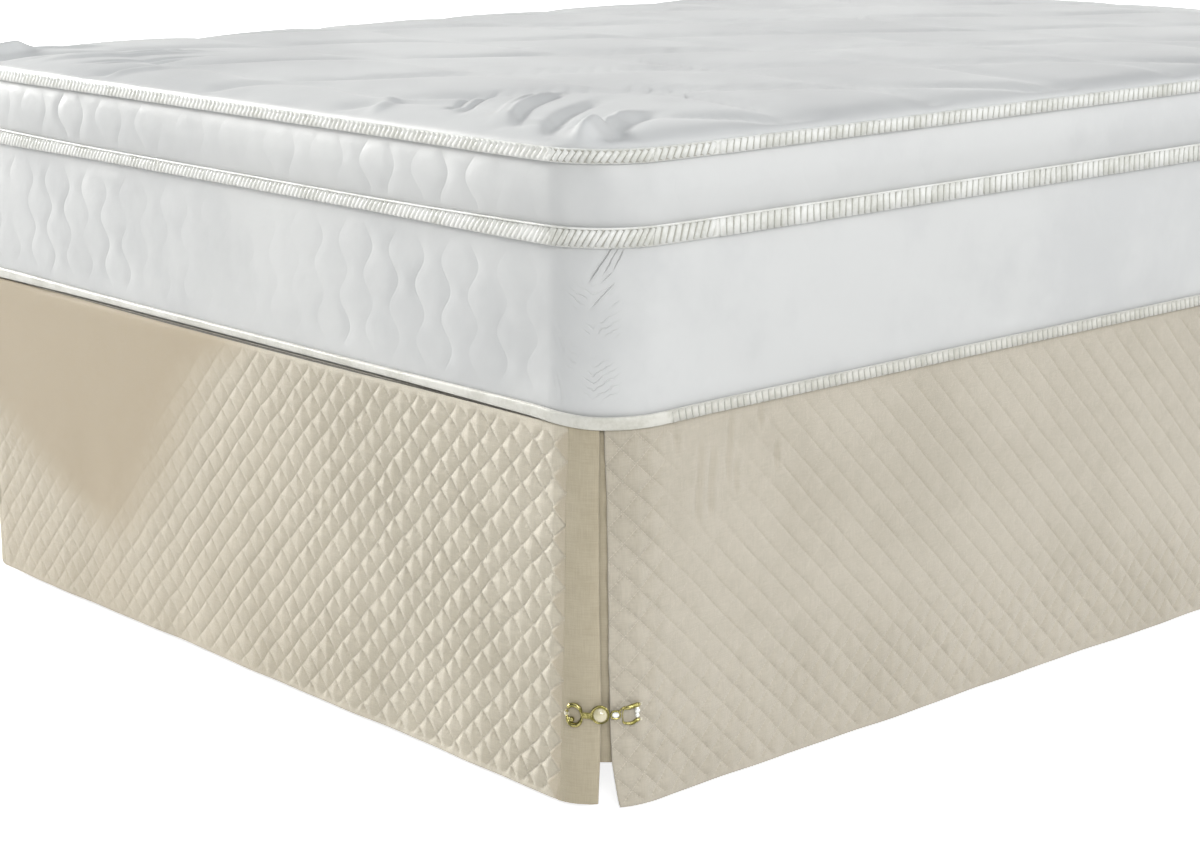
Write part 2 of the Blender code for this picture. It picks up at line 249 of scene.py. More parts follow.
def ring_faces(columns: int, rows: int, closed: bool = False) -> Array:
    """Quads of a tube: closed rings of points, each ring joined to the next.

    Args:
        columns: Points in a ring.
        rows: Number of rings.
        closed: Whether the last ring is joined to the first.

    Returns:
        Array of quads.
    """
    column, row = np.meshgrid(np.arange(columns), np.arange(rows if closed else rows - 1))
    following = (column + 1) % columns
    low, high = row * columns, (row + 1) % rows * columns
    return np.stack([low + column, low + following, high + following, high + column],
                    axis=-1).reshape(-1, 4)


def end_fans(sides: int, rings: int) -> list[Array]:
    """Triangles that close a tube on the two points that follow its rings."""
    start = np.arange(sides)
    following = (start + 1) % sides
    last = (rings - 1) * sides
    middle = np.full(sides, rings * sides)
    return [np.stack([following, start, middle], axis=1),
            np.stack([last + start, last + following, middle + 1], axis=1)]


def closed_loft(name: str, layers: Sequence[Array]) -> Mesh:
    """Closed mesh through rings, whose ends are bridged from left to right.

    Args:
        name: Name of the mesh.
        layers: Rings of points from low to high, each mirrored about its first point.

    Returns:
        The new mesh.
    """
    count = len(layers[0])
    right = np.arange(count // 2)
    left = (count - right) % count
    over = count - right - 1
    bridge = np.concatenate([np.stack([right, right + 1, over], axis=1),
                             np.stack([right, over, left], axis=1)])
    bridge = bridge[(bridge[:, 0] != bridge[:, 2]) & (bridge[:, 1] != bridge[:, 2])]
    last = (len(layers) - 1) * count
    faces = [ring_faces(count, len(layers)), bridge[:, ::-1], bridge + last]
    return mesh_of(name, np.concatenate(layers), faces)


def tube(path: Array, radius: float | Array, sides: int, closed: bool = False) -> Mesh:
    """Round bar along a path.

    Args:
        path: Points of the centre line.
        radius: Radius in metres, one for all or one for each point.
        sides: Sides of the round section.
        closed: Whether the path returns to its start.

    Returns:
        Closed mesh of the bar.
    """
    count = len(path)
    if closed:
        ahead = unit(np.roll(path, -1, axis=0) - np.roll(path, 1, axis=0))
    else:
        ahead = unit(np.gradient(path, axis=0))
    middle = path.mean(axis=0)
    normal = np.cross(path[0] - middle, path[count // 3] - middle)
    if np.linalg.norm(normal) < 1e-9:
        normal = np.cross(ahead[0], (0.0, 0.0, 1.0))
    across = unit(np.cross(ahead, unit(normal)))
    up = np.cross(across, ahead)
    size = np.broadcast_to(np.asarray(radius, float), (count,))[:, None, None]
    turn = (2 * math.pi * np.arange(sides) / sides)[None, :, None]
    section = np.cos(turn) * across[:, None, :] + np.sin(turn) * up[:, None, :]
    points = (path[:, None, :] + size * section).reshape(-1, 3)
    faces = [ring_faces(sides, count, closed)]
    if not closed:
        points = np.concatenate([points, path[[0, -1]]])
        faces += end_fans(sides, count)
    return mesh_of("bar", points, faces)


def joined(name: str, meshes: Sequence[Mesh], *materials: Material) -> Object:
    """One object from several meshes, which are then removed."""
    bm = bmesh.new()
    for mesh in meshes:
        bm.from_mesh(mesh)
        bpy.data.meshes.remove(mesh)
    return new_object(name, mesh_from(name, bm), *materials)


def place(piece: Object, slot: str, *nodes: str) -> Object:
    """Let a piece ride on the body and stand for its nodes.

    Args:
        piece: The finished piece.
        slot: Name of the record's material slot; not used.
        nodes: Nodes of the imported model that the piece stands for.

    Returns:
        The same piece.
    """
    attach(piece, BODY)
    if nodes:
        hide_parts(*nodes)
    log.info("%s: %d faces", piece.name, len(piece.data.polygons))
    return piece


# ---- Shader helpers ----

class Signal:
    """Value in a node tree that takes part in sums like a number."""

    def __init__(self, wiring: "Wiring", socket: NodeSocket) -> None:
        """Keep the socket with the wiring of its tree."""
        self.wiring = wiring
        self.socket = socket

    def __add__(self, other: object) -> "Signal":
        """Sum of both."""
        return self.wiring.math("ADD", self, other)

    def __sub__(self, other: object) -> "Signal":
        """This less the other."""
        return self.wiring.math("SUBTRACT", self, other)

    def __rsub__(self, other: object) -> "Signal":
        """The other less this."""
        return self.wiring.math("SUBTRACT", other, self)

    def __mul__(self, other: object) -> "Signal":
        """Product of both."""
        return self.wiring.math("MULTIPLY", self, other)

    def __truediv__(self, other: object) -> "Signal":
        """This shared by the other."""
        return self.wiring.math("DIVIDE", self, other)

    def __abs__(self) -> "Signal":
        """Size without its sign."""
        return self.wiring.math("ABSOLUTE", self)

    def rise(self, low: object, high: object, start: float = 0.0, end: float = 1.0) -> "Signal":
        """Smooth step from start at low to end at high."""
        return self.wiring.add("ShaderNodeMapRange", {
            "Value": self, "From Min": low, "From Max": high, "To Min": start, "To Max": end},
            interpolation_type="SMOOTHSTEP")


class Wiring:
    """Adds nodes to a tree and joins them with few words."""

    def __init__(self, tree: NodeTree) -> None:
        """Take the tree that the nodes go to."""
        self.tree = tree

    def feed(self, socket: NodeSocket, value: object) -> None:
        """Join a socket to a signal or another socket, or set its constant."""
        if isinstance(value, Signal):
            value = value.socket
        if isinstance(value, NodeSocket):
            self.tree.links.new(value, socket)
        else:
            socket.default_value = value

    def node(self, kind: str, inputs: dict[str | int, object] | None = None,
             **settings: object) -> Node:
        """New node of a type, with its inputs by name or number and its own settings."""
        made = self.tree.nodes.new(kind)
        for name, value in settings.items():
            setattr(made, name, value)
        for key, value in (inputs or {}).items():
            self.feed(made.inputs[key], value)
        return made

    def add(self, kind: str, inputs: dict[str | int, object] | None = None,
            output: str | int = 0, **settings: object) -> Signal:
        """Output of a new node."""
        return Signal(self, self.node(kind, inputs, **settings).outputs[output])

    def math(self, operation: str, *values: object) -> Signal:
        """Result of a math node on signals and numbers."""
        return self.add("ShaderNodeMath", dict(enumerate(values)), operation=operation)

    def parts(self, vector: Signal) -> list[Signal]:
        """X, Y and Z of a vector."""
        made = self.node("ShaderNodeSeparateXYZ", {0: vector})
        return [Signal(self, output) for output in made.outputs]

    def noise(self, vector: Signal, scale: object, detail: float = 3.0, rough: float = 0.5) -> Signal:
        """Noise value at a vector."""
        return self.add("ShaderNodeTexNoise", {"Vector": vector, "Scale": scale,
                                               "Detail": detail, "Roughness": rough})

    def scaled(self, vector: Signal, *size: float) -> Signal:
        """Vector stretched by a mapping node."""
        return self.add("ShaderNodeMapping", {"Vector": vector, "Scale": size})

    def blend(self, share: object, first: object, second: object, kind: str = "MIX") -> Signal:
        """Colour between two, by a share."""
        made = self.node("ShaderNodeMix", {0: share}, data_type="RGBA", blend_type=kind)
        for name, value in (("A", first), ("B", second)):
            socket = next(s for s in made.inputs if s.name == name and s.type == "RGBA")
            self.feed(socket, (*value, 1.0) if isinstance(value, tuple) else value)
        return Signal(self, next(s for s in made.outputs if s.type == "RGBA"))

    def uv(self, name: str) -> Signal:
        """Coordinates of a named UV map."""
        return self.add("ShaderNodeUVMap", uv_map=name)

    def own(self) -> Signal:
        """Object coordinates of the piece."""
        return self.add("ShaderNodeTexCoord", output="Object")

    def value_of(self, name: str) -> Signal:
        """Number kept on the piece's points under a name."""
        return self.add("ShaderNodeAttribute", output="Fac", attribute_name=name)

    def use(self, group: NodeTree, **values: object) -> dict[str, Signal]:
        """Outputs of a node group whose inputs are fed by name."""
        made = self.node("ShaderNodeGroup", values, node_tree=group)
        return {output.name: Signal(self, output) for output in made.outputs}

    def relief(self, height: Signal, depth: float, normal: Signal | None = None) -> Signal:
        """Normal bent by a height, whose full range is a depth in metres."""
        under = {} if normal is None else {"Normal": normal}
        return self.add("ShaderNodeBump", {"Distance": depth, "Height": height, **under})


class Group(Wiring):
    """Shader node group, with its inputs as signals."""

    def __init__(self, name: str, inputs: dict[str, float | None], *outputs: str) -> None:
        """Start the group.

        Args:
            name: Name of the group.
            inputs: Constant of each input, or None for a vector.
            outputs: Names of the outputs, which are all numbers.
        """
        super().__init__(bpy.data.node_groups.new(name, "ShaderNodeTree"))
        sockets = self.tree.interface
        for label, value in inputs.items():
            kind = "NodeSocketVector" if value is None else "NodeSocketFloat"
            socket = sockets.new_socket(name=label, in_out="INPUT", socket_type=kind)
            if value is not None:
                socket.default_value = value
        for label in outputs:
            sockets.new_socket(name=label, in_out="OUTPUT", socket_type="NodeSocketFloat")
        given = self.node("NodeGroupInput").outputs
        self.given = {label: Signal(self, given[label]) for label in inputs}

    def close(self, **values: Signal) -> NodeTree:
        """Feed the outputs and hand over the finished tree."""
        self.node("NodeGroupOutput", values)
        return self.tree


class Effects:
    """Shader node groups that several finishes share, each built once."""

    def __init__(self) -> None:
        """Build every group."""
        self.weave = self.build_weave()
        self.mottle = self.build_mottle()
        self.stitching = self.build_stitching()
        self.crumple = self.build_crumple()

    @staticmethod
    def build_weave() -> NodeTree:
        """Plain weave of two threads: Height of the threads and their uneven Tone."""
        group = Group("weave", {"Vector": None, "Threads": 1800.0}, "Height", "Tone")
        vector, threads = group.given.values()
        x, y, _ = group.parts(vector)
        across, down = x * threads, y * threads
        warp, weft = (abs(group.math("SINE", run * math.pi)) for run in (across, down))
        cell = group.math("FLOOR", across) + group.math("FLOOR", down)
        over = group.math("MODULO", abs(cell), 2.0)
        slubs = group.noise(group.scaled(vector, 900.0, 45.0, 1.0), 1.0, 2.0)
        bars = group.noise(group.scaled(vector, 45.0, 900.0, 1.0), 1.0, 2.0)
        return group.close(Height=warp * over + weft * (1.0 - over), Tone=(slubs + bars) * 0.5)

    @staticmethod
    def build_mottle() -> NodeTree:
        """Soft uneven tone, 0 to 1, at a wide and a narrow scale."""
        group = Group("mottle", {"Vector": None, "Wide": 4.0, "Narrow": 40.0}, "Tone")
        vector, wide, narrow = group.given.values()
        return group.close(Tone=group.noise(vector, wide, 2.0) * 0.65
                           + group.noise(vector, narrow, 3.0, 0.6) * 0.35)

    @staticmethod
    def build_stitching() -> NodeTree:
        """Quilting thread on two crossing families of lines at whole numbers.

        Returns:
            Group that puts out Thread, where a stitch lies, Fold, the needle line's sunk
            cloth, and Pucker, small gathers square to the lines.
        """
        group = Group("stitching", {"Lines": None, "Width": 0.02, "Stitches": 7.0},
                      "Thread", "Fold", "Pucker")
        lines, width, stitches = group.given.values()
        first, second, _ = group.parts(lines)
        threads, folds, gathers = [], [], []
        for line, run in ((first, second), (second, first)):
            near = abs(line - group.math("ROUND", line))
            beat = group.math("FRACT", run * stitches)
            threads.append(abs(beat - 0.5).rise(0.40, 0.30) * near.rise(width, width * 0.4))
            folds.append(near.rise(width * 3.0, 0.0))
            pull = group.math("SINE", run * (2 * math.pi * 5.0))
            gathers.append(pull * near.rise(0.30, 0.02))
        return group.close(Thread=group.math("MAXIMUM", *threads),
                           Fold=group.math("MAXIMUM", *folds), Pucker=gathers[0] + gathers[1])

    @staticmethod
    def build_crumple() -> NodeTree:
        """Height of small soft creases that run mostly one way."""
        group = Group("crumple", {"Vector": None, "Scale": 60.0, "Bend": 0.35}, "Height")
        vector, scale, strength = group.given.values()
        x, y, z = group.parts(vector)
        bend = group.noise(vector, scale * 0.5, 2.0) * strength / scale
        shifted = group.add("ShaderNodeCombineXYZ", {0: x + bend * 4.0, 1: y * 0.35, 2: z})
        return group.close(Height=group.noise(shifted, scale, 3.0, 0.55))


class Surface(Wiring):
    """Node material whose shader is fed by name."""

    def __init__(self, name: str) -> None:
        """Start a material of a name."""
        self.material = bpy.data.materials.new(name)
        self.material.use_nodes = True
        super().__init__(self.material.node_tree)

    @staticmethod
    def rough(tone: Signal, least: float, most: float) -> Signal:
        """Roughness that rises with an uneven tone."""
        return tone.rise(0.3, 0.7, least, most)

    def finish(self, inputs: dict[str, object]) -> Material:
        """Feed the shader's inputs and hand over the material."""
        for name, value in inputs.items():
            self.feed(self.tree.nodes["Principled BSDF"].inputs[name], value)
        return self.material


# ---- Finishes ----

@dataclass(frozen=True)
class ClothFinish:
    """Soft cloth with a weave, uneven tone and fine creases, on the UV map "cloth"."""

    name: str
    colour: Colour
    # shade also paints the shade in the sunk stitch lines.
    shade: Colour  # colour of the darker patches and of folds
    roughness: float = 0.72
    threads: float = 1700.0  # threads to a metre
    weave_depth: float = 0.00012
    crumple_scale: float = 45.0
    crumple_depth: float = 0.0006
    sheen: float = 0.25
    quilted: bool = False
    # Colour mixed in by the plain share: painted shade on the foot's left side and wedge, and the plain
    # look near the seams.
    plain_and_shade_colour: Colour | None = None
    thread_colour: Colour = (0.74, 0.69, 0.58)
    # edge: height of the upper edge, under which a dark line is painted as the mattress tape's shadow.
    edge: float | None = None  # height of an upper edge with a dark line
    tape_shadow_colour: Colour = (0.030, 0.020, 0.006)

    def build(self, effects: Effects) -> Material:
        """Material of this cloth, from the shared shader groups."""
        made = Surface(self.name)
        flat = made.uv("cloth")
        weave = made.use(effects.weave, Vector=flat, Threads=self.threads)
        tone = made.use(effects.mottle, Vector=flat)["Tone"]
        fine = weave["Tone"].rise(0.35, 0.65, 0.93, 1.05)
        grey = made.add("ShaderNodeCombineColor", dict.fromkeys(range(3), fine))
        colour = made.blend(tone.rise(0.62, 0.36), self.colour, self.shade)
        colour = made.blend(1.0, colour, grey, "MULTIPLY")
        creases = made.use(effects.crumple, Vector=flat, Scale=self.crumple_scale)["Height"]
        bent = made.relief(creases, self.crumple_depth)
        if self.quilted:
            colour, bent = self.add_quilting(made, effects, colour, bent)
        # Painted shadow of the mattress tape along the upper edge.
        if self.edge is not None:
            colour = made.blend(self.painted_tape_shadow(made), colour, self.tape_shadow_colour)
        return made.finish({
            "Base Color": colour,
            "Roughness": made.rough(tone, self.roughness - 0.05, self.roughness + 0.06),
            "Normal": made.relief(weave["Height"], self.weave_depth, bent),
            "Sheen Weight": self.sheen, "Sheen Roughness": 0.45, "Specular IOR Level": 0.35})

    def painted_tape_shadow(self, made: Surface) -> Signal:
        """Painted shadow line under the upper edge, below the mattress tape, broadest at the middle and
        gone near the ends.
        """
        across, _, up = made.parts(made.own())
        from_middle = abs(across - 0.02)
        depth = from_middle.rise(0.12, 0.50, 0.0030, 0.0008)
        line = made.math("LESS_THAN", self.edge + 0.0002 - up, depth)
        return line * from_middle.rise(0.50, 0.62, 0.95, 0.0)

    def add_quilting(self, made: Surface, effects: Effects, colour: Signal, bent: Signal
                     ) -> tuple[Signal, Signal]:
        """Thread and sunk lines of the quilting, faded where the cloth is plain.

        Args:
            made: The material so far.
            effects: The shared shader groups.
            colour: Colour so far.
            bent: Normal so far.

        Returns:
            The new colour and normal.
        """
        sewn = made.value_of("quilting")
        stitches = made.use(effects.stitching, Lines=made.uv("quilt"))
        thread = stitches["Thread"] * sewn
        # Mix in the darker plain colour: painted shade on the foot's left side and wedge, and the plain
        # look near the seams.
        colour = made.blend(made.value_of("plain"), colour, self.plain_and_shade_colour or self.colour)
        # Painted shade in the sunk cloth along the stitch lines.
        colour = made.blend(stitches["Fold"] * sewn * 0.16, colour, self.shade)
        colour = made.blend(thread * 0.55, colour, self.thread_colour)
        bent = made.relief(stitches["Pucker"] * sewn, 0.00022, bent)
        return colour, made.relief(thread, 0.0003, bent)


@dataclass(frozen=True)
class TickingFinish:
    """Satin ticking with sewn wavy lines, gathered at the corners.

    The clouding and threads follow Object coordinates. The lines follow the UV map
    "border", which holds the distance round the mattress and the height.
    """

    name: str
    colour: Colour = (0.500, 0.504, 0.500)
    shade: Colour = (0.452, 0.457, 0.457)
    # fold: painted shade in the corner gathers and fishbone creases.
    fold: Colour = (0.29, 0.29, 0.28)
    roughness: float = 0.36
    bone_pitch: float = 0.0085
    gathers: tuple[tuple[Place, Place, float], ...] = (
        # start and end as distance from the corner's middle and height, then depth
        ((0.0163, 0.637), (-0.0177, 0.593), 1.0),
        ((0.0213, 0.634), (-0.0007, 0.600), 0.8),
        ((0.0263, 0.630), (0.0113, 0.604), 0.9),
        ((0.0123, 0.606), (-0.0047, 0.592), 0.6),
        ((0.0143, 0.594), (-0.0157, 0.565), 0.6),
        ((0.0203, 0.576), (0.0053, 0.566), 0.4),
    )

    def build(self, effects: Effects) -> Material:
        """Material of the ticking, from the shared shader groups."""
        made = Surface(self.name)
        own = made.own()
        tone = made.use(effects.mottle, Vector=own, Wide=2.5, Narrow=18.0)["Tone"]
        creases = made.use(effects.crumple, Vector=own, Scale=24.0)["Height"]
        run, height, _ = made.parts(made.uv("border"))
        gathers = self.corner_lines(made, run, height)
        bent = made.relief(creases, 0.0007)
        bent = made.relief(self.sewn_lines(made, run, height), 0.0002, bent)
        bent = made.relief(gathers, 0.0012, bent)
        colour = made.blend(tone.rise(0.62, 0.38), self.colour, self.shade)
        return made.finish({
            # Painted shade: the gathers and fishbone creases darkened towards the fold colour.
            "Base Color": made.blend(gathers * -0.38, colour, self.fold),
            "Roughness": made.rough(tone, self.roughness - 0.06, self.roughness + 0.10),
            "Normal": made.relief(made.noise(own, 1500.0, 1.0), 0.0001, bent),
            "Sheen Weight": 0.2, "Sheen Roughness": 0.4, "Specular IOR Level": 0.45})

    @staticmethod
    def sewn_lines(made: Surface, run: Signal, height: Signal) -> Signal:
        """Height of the mirrored wavy lines, lowest on each line."""
        turn = made.math("MULTIPLY_ADD", height, 2 * math.pi / OGEE_LENGTH,
                         -2 * math.pi * OGEE_START / OGEE_LENGTH)
        wave = made.math("SINE", turn) * OGEE_SWING
        first = made.math("PINGPONG", run - wave, OGEE_PITCH)
        second = made.math("PINGPONG", run + wave + OGEE_PITCH, OGEE_PITCH)
        line = made.math("MINIMUM", first, second).rise(0.0, 0.0030, 1.0, 0.0)
        return line * -1.0 * made.value_of("figure")

    def corner_lines(self, made: Surface, run: Signal, height: Signal) -> Signal:
        """Height of the slanting gathers and of the fishbone of fine cross creases.

        Args:
            made: The material so far.
            run: Distance round the mattress.
            height: Height above the floor.

        Returns:
            Nothing beside the lines and down to minus one on them.
        """
        toward = abs(run) - MATTRESS_CORNER
        cloud = made.noise(made.own(), 90.0, 2.0)
        bent = made.math("MULTIPLY_ADD", cloud - 0.5, 0.0025, toward)
        gather = None
        for start, end, depth in self.gathers:
            stroke = self.stroke(made, bent, height, start, end) * depth
            gather = stroke if gather is None else made.math("MAXIMUM", gather, stroke)
        apart = abs(toward + 0.0107)
        bone = made.math("MULTIPLY_ADD", apart, -0.55, height)
        bone = made.math("MULTIPLY_ADD", cloud, 0.010, bone)
        cross = made.math("PINGPONG", bone, self.bone_pitch / 2).rise(0.0, 0.0013, 1.0, 0.0)
        held = apart.rise(0.018, 0.036, 1.0, 0.0) * height.rise(*BORDER_FOOT)
        held = held * height.rise(0.575, 0.600, 1.0, 0.0)
        held = held * made.noise(made.own(), 40.0, 1.0).rise(0.40, 0.60)
        return made.math("MAXIMUM", gather, cross * (held * 0.42)) * -1.0

    @staticmethod
    def stroke(made: Surface, x: Signal, y: Signal, start: Place, end: Place) -> Signal:
        """Thin line between two places that runs out at its ends.

        Args:
            made: The material so far.
            x: First coordinate.
            y: Second coordinate.
            start: Place where the line starts.
            end: Place where it ends.

        Returns:
            One along the line, falling to nothing a millimetre beside it.
        """
        length = math.dist(start, end)
        ahead = ((end[0] - start[0]) / length, (end[1] - start[1]) / length)
        along = made.math("MULTIPLY_ADD", y, ahead[1], x * ahead[0])
        along = along + (-start[0] * ahead[0] - start[1] * ahead[1])
        off = made.math("MULTIPLY_ADD", y, ahead[0], x * -ahead[1])
        off = off + (start[0] * ahead[1] - start[1] * ahead[0])
        line = abs(off).rise(0.0, 0.0010, 1.0, 0.0) * along.rise(-0.002, 0.006)
        return line * along.rise(length - 0.014, length + 0.001, 1.0, 0.0)


@dataclass(frozen=True)
class GlossFinish:
    """Glossy finish whose tone wanders between two colours, on Object coordinates."""

    name: str
    colour: Colour
    shade: Colour
    roughness: tuple[float, float]
    clouds: tuple[float, float]  # scales of the wide and narrow tone
    turn: tuple[float, ...] = (0.6, 0.4)  # tones between which the colour turns
    grain: tuple[float, float, float] | None = None  # scale of the fine relief each way
    depth: float = 0.0
    shader: tuple[tuple[str, float], ...] = ()

    def build(self, effects: Effects) -> Material:
        """Material of this finish, from the shared shader groups."""
        made = Surface(self.name)
        own = made.own()
        wide, narrow = self.clouds
        tone = made.use(effects.mottle, Vector=own, Wide=wide, Narrow=narrow)["Tone"]
        inputs = {"Base Color": self.tint(made, tone),
                  "Roughness": made.rough(tone, *self.roughness), **dict(self.shader)}
        if self.grain:
            fine = made.noise(made.scaled(own, *self.grain), 1.0, 2.0)
            inputs["Normal"] = made.relief(fine, self.depth)
        return made.finish(inputs)

    def tint(self, made: Surface, tone: Signal) -> Signal:
        """Colour by the tone."""
        return made.blend(tone.rise(*self.turn), self.colour, self.shade)


@dataclass(frozen=True)
class TapeFinish(GlossFinish):
    """Ribbon of fine parallel threads, with painted shade on the ground between its ribs."""

    colour: Colour = (0.63, 0.63, 0.605)
    shade: Colour = (0.50, 0.50, 0.46)
    roughness: tuple[float, float] = (0.30, 0.50)
    clouds: tuple[float, float] = (30.0, 220.0)
    turn: tuple[float, ...] = (0.60, 0.35)
    grain: tuple[float, float, float] | None = (1400.0, 1400.0, 120.0)
    depth: float = 0.00025
    shader: tuple[tuple[str, float], ...] = (("Sheen Weight", 0.3), ("Specular IOR Level", 0.5))
    # ground: painted shade on the ribbon between its ribs.
    ground: Colour = (0.31, 0.305, 0.265)

    def tint(self, made: Surface, tone: Signal) -> Signal:
        """Colour by the tone, and painted shade on the ground where the ribs stand."""
        return made.blend(made.value_of("ground"), super().tint(made, tone), self.ground)


@dataclass(frozen=True)
class WoodFinish:
    """Stained wood whose grain runs up the leg, on Object coordinates."""

    name: str
    colour: Colour = (0.27, 0.17, 0.10)
    grain: Colour = (0.13, 0.075, 0.04)

    def build(self, effects: Effects) -> Material:
        """Material of the wood, from the shared shader groups."""
        made = Surface(self.name)
        own = made.own()
        rings = made.noise(made.scaled(own, 1.0, 1.0, 0.08), 150.0, 5.0, 0.6)
        pores = made.noise(made.scaled(own, 1.0, 1.0, 0.03), 900.0, 2.0)
        tone = made.use(effects.mottle, Vector=own, Wide=12.0, Narrow=80.0)["Tone"]
        colour = made.blend(rings.rise(0.40, 0.62), self.colour, self.grain)
        return made.finish({
            "Base Color": made.blend(pores.rise(0.56, 0.66, 0.0, 0.5), colour, self.grain),
            "Roughness": made.rough(tone, 0.38, 0.58),
            "Normal": made.relief(rings, 0.0002),
            "Coat Weight": 0.25, "Coat Roughness": 0.25})


class Finishes:
    """Every material of the bed, built once and found by its short name."""

    def __init__(self) -> None:
        """Build the materials from their finishes."""
        effects = Effects()
        quilted = {"roughness": 0.62, "sheen": 0.30, "quilted": True, "crumple_depth": 0.0005}
        made = {
            # The foot's dark plain colour is painted shade for its left side and wedge.
            "quilted": ClothFinish("quilted cloth", (0.522, 0.475, 0.381), (0.463, 0.419, 0.329),
                                   # edge: a painted shadow line under the mattress tape.
                                   plain_and_shade_colour=(0.314, 0.236, 0.132), edge=SkirtForm.top,
                                   **quilted),
            # Darker copy of the same quilted cloth for the side panels: painted shade that offsets the
            # stronger light on the sides.
            "quilted side": ClothFinish("quilted cloth, side cut", (0.453, 0.411, 0.337),
                                        (0.403, 0.363, 0.291), **quilted),
            "plain": ClothFinish("plain cloth", (0.420, 0.368, 0.270), (0.376, 0.327, 0.232),
                                 roughness=0.68, crumple_scale=16.0, crumple_depth=0.0008),
            "deck": ClothFinish("deck cloth", (0.66, 0.63, 0.56), (0.58, 0.55, 0.47),
                                roughness=0.85, threads=1100.0, weave_depth=0.0002),
            "base": ClothFinish("base cover", (0.60, 0.57, 0.51), (0.52, 0.49, 0.43),
                                roughness=0.86, threads=900.0, weave_depth=0.0003,
                                crumple_scale=9.0),
            "thread": TapeFinish("sewing thread", (0.72, 0.68, 0.56), (0.60, 0.56, 0.44),
                                 (0.42, 0.62)),
            "ticking": TickingFinish("mattress ticking"),
            "tape": TapeFinish("mattress tape"),
            "low tape": TapeFinish("mattress tape, lowest", (0.53, 0.52, 0.475),
                                   (0.43, 0.42, 0.37)),
            "metal": GlossFinish("clasp metal", (0.42, 0.37, 0.15), (0.10, 0.095, 0.012),
                                 (0.14, 0.38), (180.0, 900.0), (0.42, 0.60, 0.0, 0.75),
                                 (700.0, 5200.0, 700.0), 0.00004, (("Metallic", 1.0),)),
            "pearl": GlossFinish("pearl", (0.54, 0.49, 0.35), (0.47, 0.43, 0.27),
                                 (0.16, 0.26), (120.0, 600.0),
                                 shader=(("Coat Weight", 0.8), ("Coat Roughness", 0.06))),
            # Near white with little transmission: a painted highlight in place of the clear stone's
            # sparkle.
            "stone": GlossFinish("clear stone", (0.97, 0.97, 0.93), (0.90, 0.92, 0.88),
                                 (0.01, 0.05), (300.0, 900.0), (0.4, 0.6),
                                 shader=(("Transmission Weight", 0.20), ("IOR", 1.62))),
            "wood": WoodFinish("leg wood"),
        }
        self.made = {name: finish.build(effects) for name, finish in made.items()}

    def __getitem__(self, name: str) -> Material:
        """Material by its short name."""
        return self.made[name]


# ---- The hanging surface ----

@dataclass(frozen=True)
class SkirtForm:
    """Outer face of the hanging skirt, and how its cloth swings and parts."""

    width: float = 1.380
    length: float = 1.880
    radius: float = 0.090
    hem: float = 0.010
    top: float = 0.4398
    wave_mean: float = 0.0022
    wave_fade: float = 1.3
    flare_reach: float = 0.045
    clasp_height: float = 0.118
    head_end: float = 0.930
    waves: tuple[tuple[float, float, float], ...] = (
        # amplitude, wavelength, phase
        (0.0013, 0.520, 0.4),
        (0.0008, 0.230, 1.9),
        (0.0004, 0.110, 0.7),
    )
    split_rows: tuple[tuple[float, ...], ...] = (
        # height, band_edge, side_edge, seam: how far each stands back from the corner
        (0.010, 0.0065, 0.0165, 0.0560),
        (0.020, 0.0062, 0.0135, 0.0545),
        (0.060, 0.0045, 0.0080, 0.0500),
        (0.125, 0.0030, 0.0062, 0.0480),
        (0.250, 0.0048, 0.0050, 0.0440),
        (0.350, 0.0045, 0.0042, 0.0425),
        (0.414, 0.0036, 0.0020, 0.0390),
        (0.440, 0.0030, 0.0010, 0.0385),
    )

    @property
    def straight(self) -> float:
        """Along value where the corner starts to turn."""
        return self.width / 2 - self.radius

    @property
    def corner_length(self) -> float:
        """Length of the quarter turn on the outer face."""
        return self.radius * math.pi / 2

    @property
    def corner(self) -> float:
        """Along value of the corner's middle."""
        return self.straight + self.corner_length / 2

    @property
    def side_end(self) -> float:
        """Along value of the side panels' ends at the head."""
        return self.straight + self.corner_length + self.head_end + self.length / 2 - self.radius

    def split(self, height: Array, column: int) -> Array:
        """One column of the split's rows at each height."""
        return between(self.split_rows, height, column)

    def point(self, along: Array, outward: Array, height: Array, side: int) -> Array:
        """Points on or off the outer face.

        Args:
            along: Distance from the foot's middle, 0 or more.
            outward: Distance from the outer face.
            height: Height above the floor.
            side: 1 for the right half and -1 for the left.

        Returns:
            Array of points with x, y and z in its last axis.
        """
        reach = self.radius + outward
        straight_y = self.length / 2 - self.radius
        turn = np.clip((along - self.straight) / self.radius, 0.0, math.pi / 2)
        past = np.maximum(along - self.straight - self.corner_length, 0.0)
        x = np.minimum(along, self.straight) + reach * np.sin(turn)
        y = past - straight_y - reach * np.cos(turn)
        return np.stack(np.broadcast_arrays(side * x, y, height), axis=-1)

    def swing(self, along: Array, height: Array, phase: Array | float = 0.0) -> Array:
        """Outward swing of the cloth: nothing at the top, soft waves at the hem."""
        drop = np.clip((self.top - height) / (self.top - self.hem), 0.0, 1.0)
        wave = sum(size * np.sin(2 * math.pi * along / reach + start + phase)
                   for size, reach, start in self.waves)
        return (self.wave_mean + wave) * drop ** self.wave_fade

    def flare(self, size: float, distance: Array, height: Array) -> Array:
        """Outward kick of a free corner below the clasp."""
        below = np.clip((self.clasp_height - height) / (self.clasp_height - self.hem), 0.0, None)
        return size * below ** 1.5 * np.exp(-(distance / self.flare_reach) ** 2)

    def frame(self, along: float, outward: float, height: float, side: int) -> Matrix:
        """Frame on the cloth: X along the skirt to the right, Y up and Z outward."""
        turn = (along - self.straight) / self.radius
        normal = Vector((side * math.sin(turn), -math.cos(turn), 0.0))
        up = Vector((0.0, 0.0, 1.0))
        swung = outward + float(self.swing(side * along, height))
        spot = Vector(self.point(np.array(along), np.array(swung), np.array(height), side))
        turned = Matrix((up.cross(normal), up, normal)).transposed().to_4x4()
        return Matrix.Translation(spot) @ turned


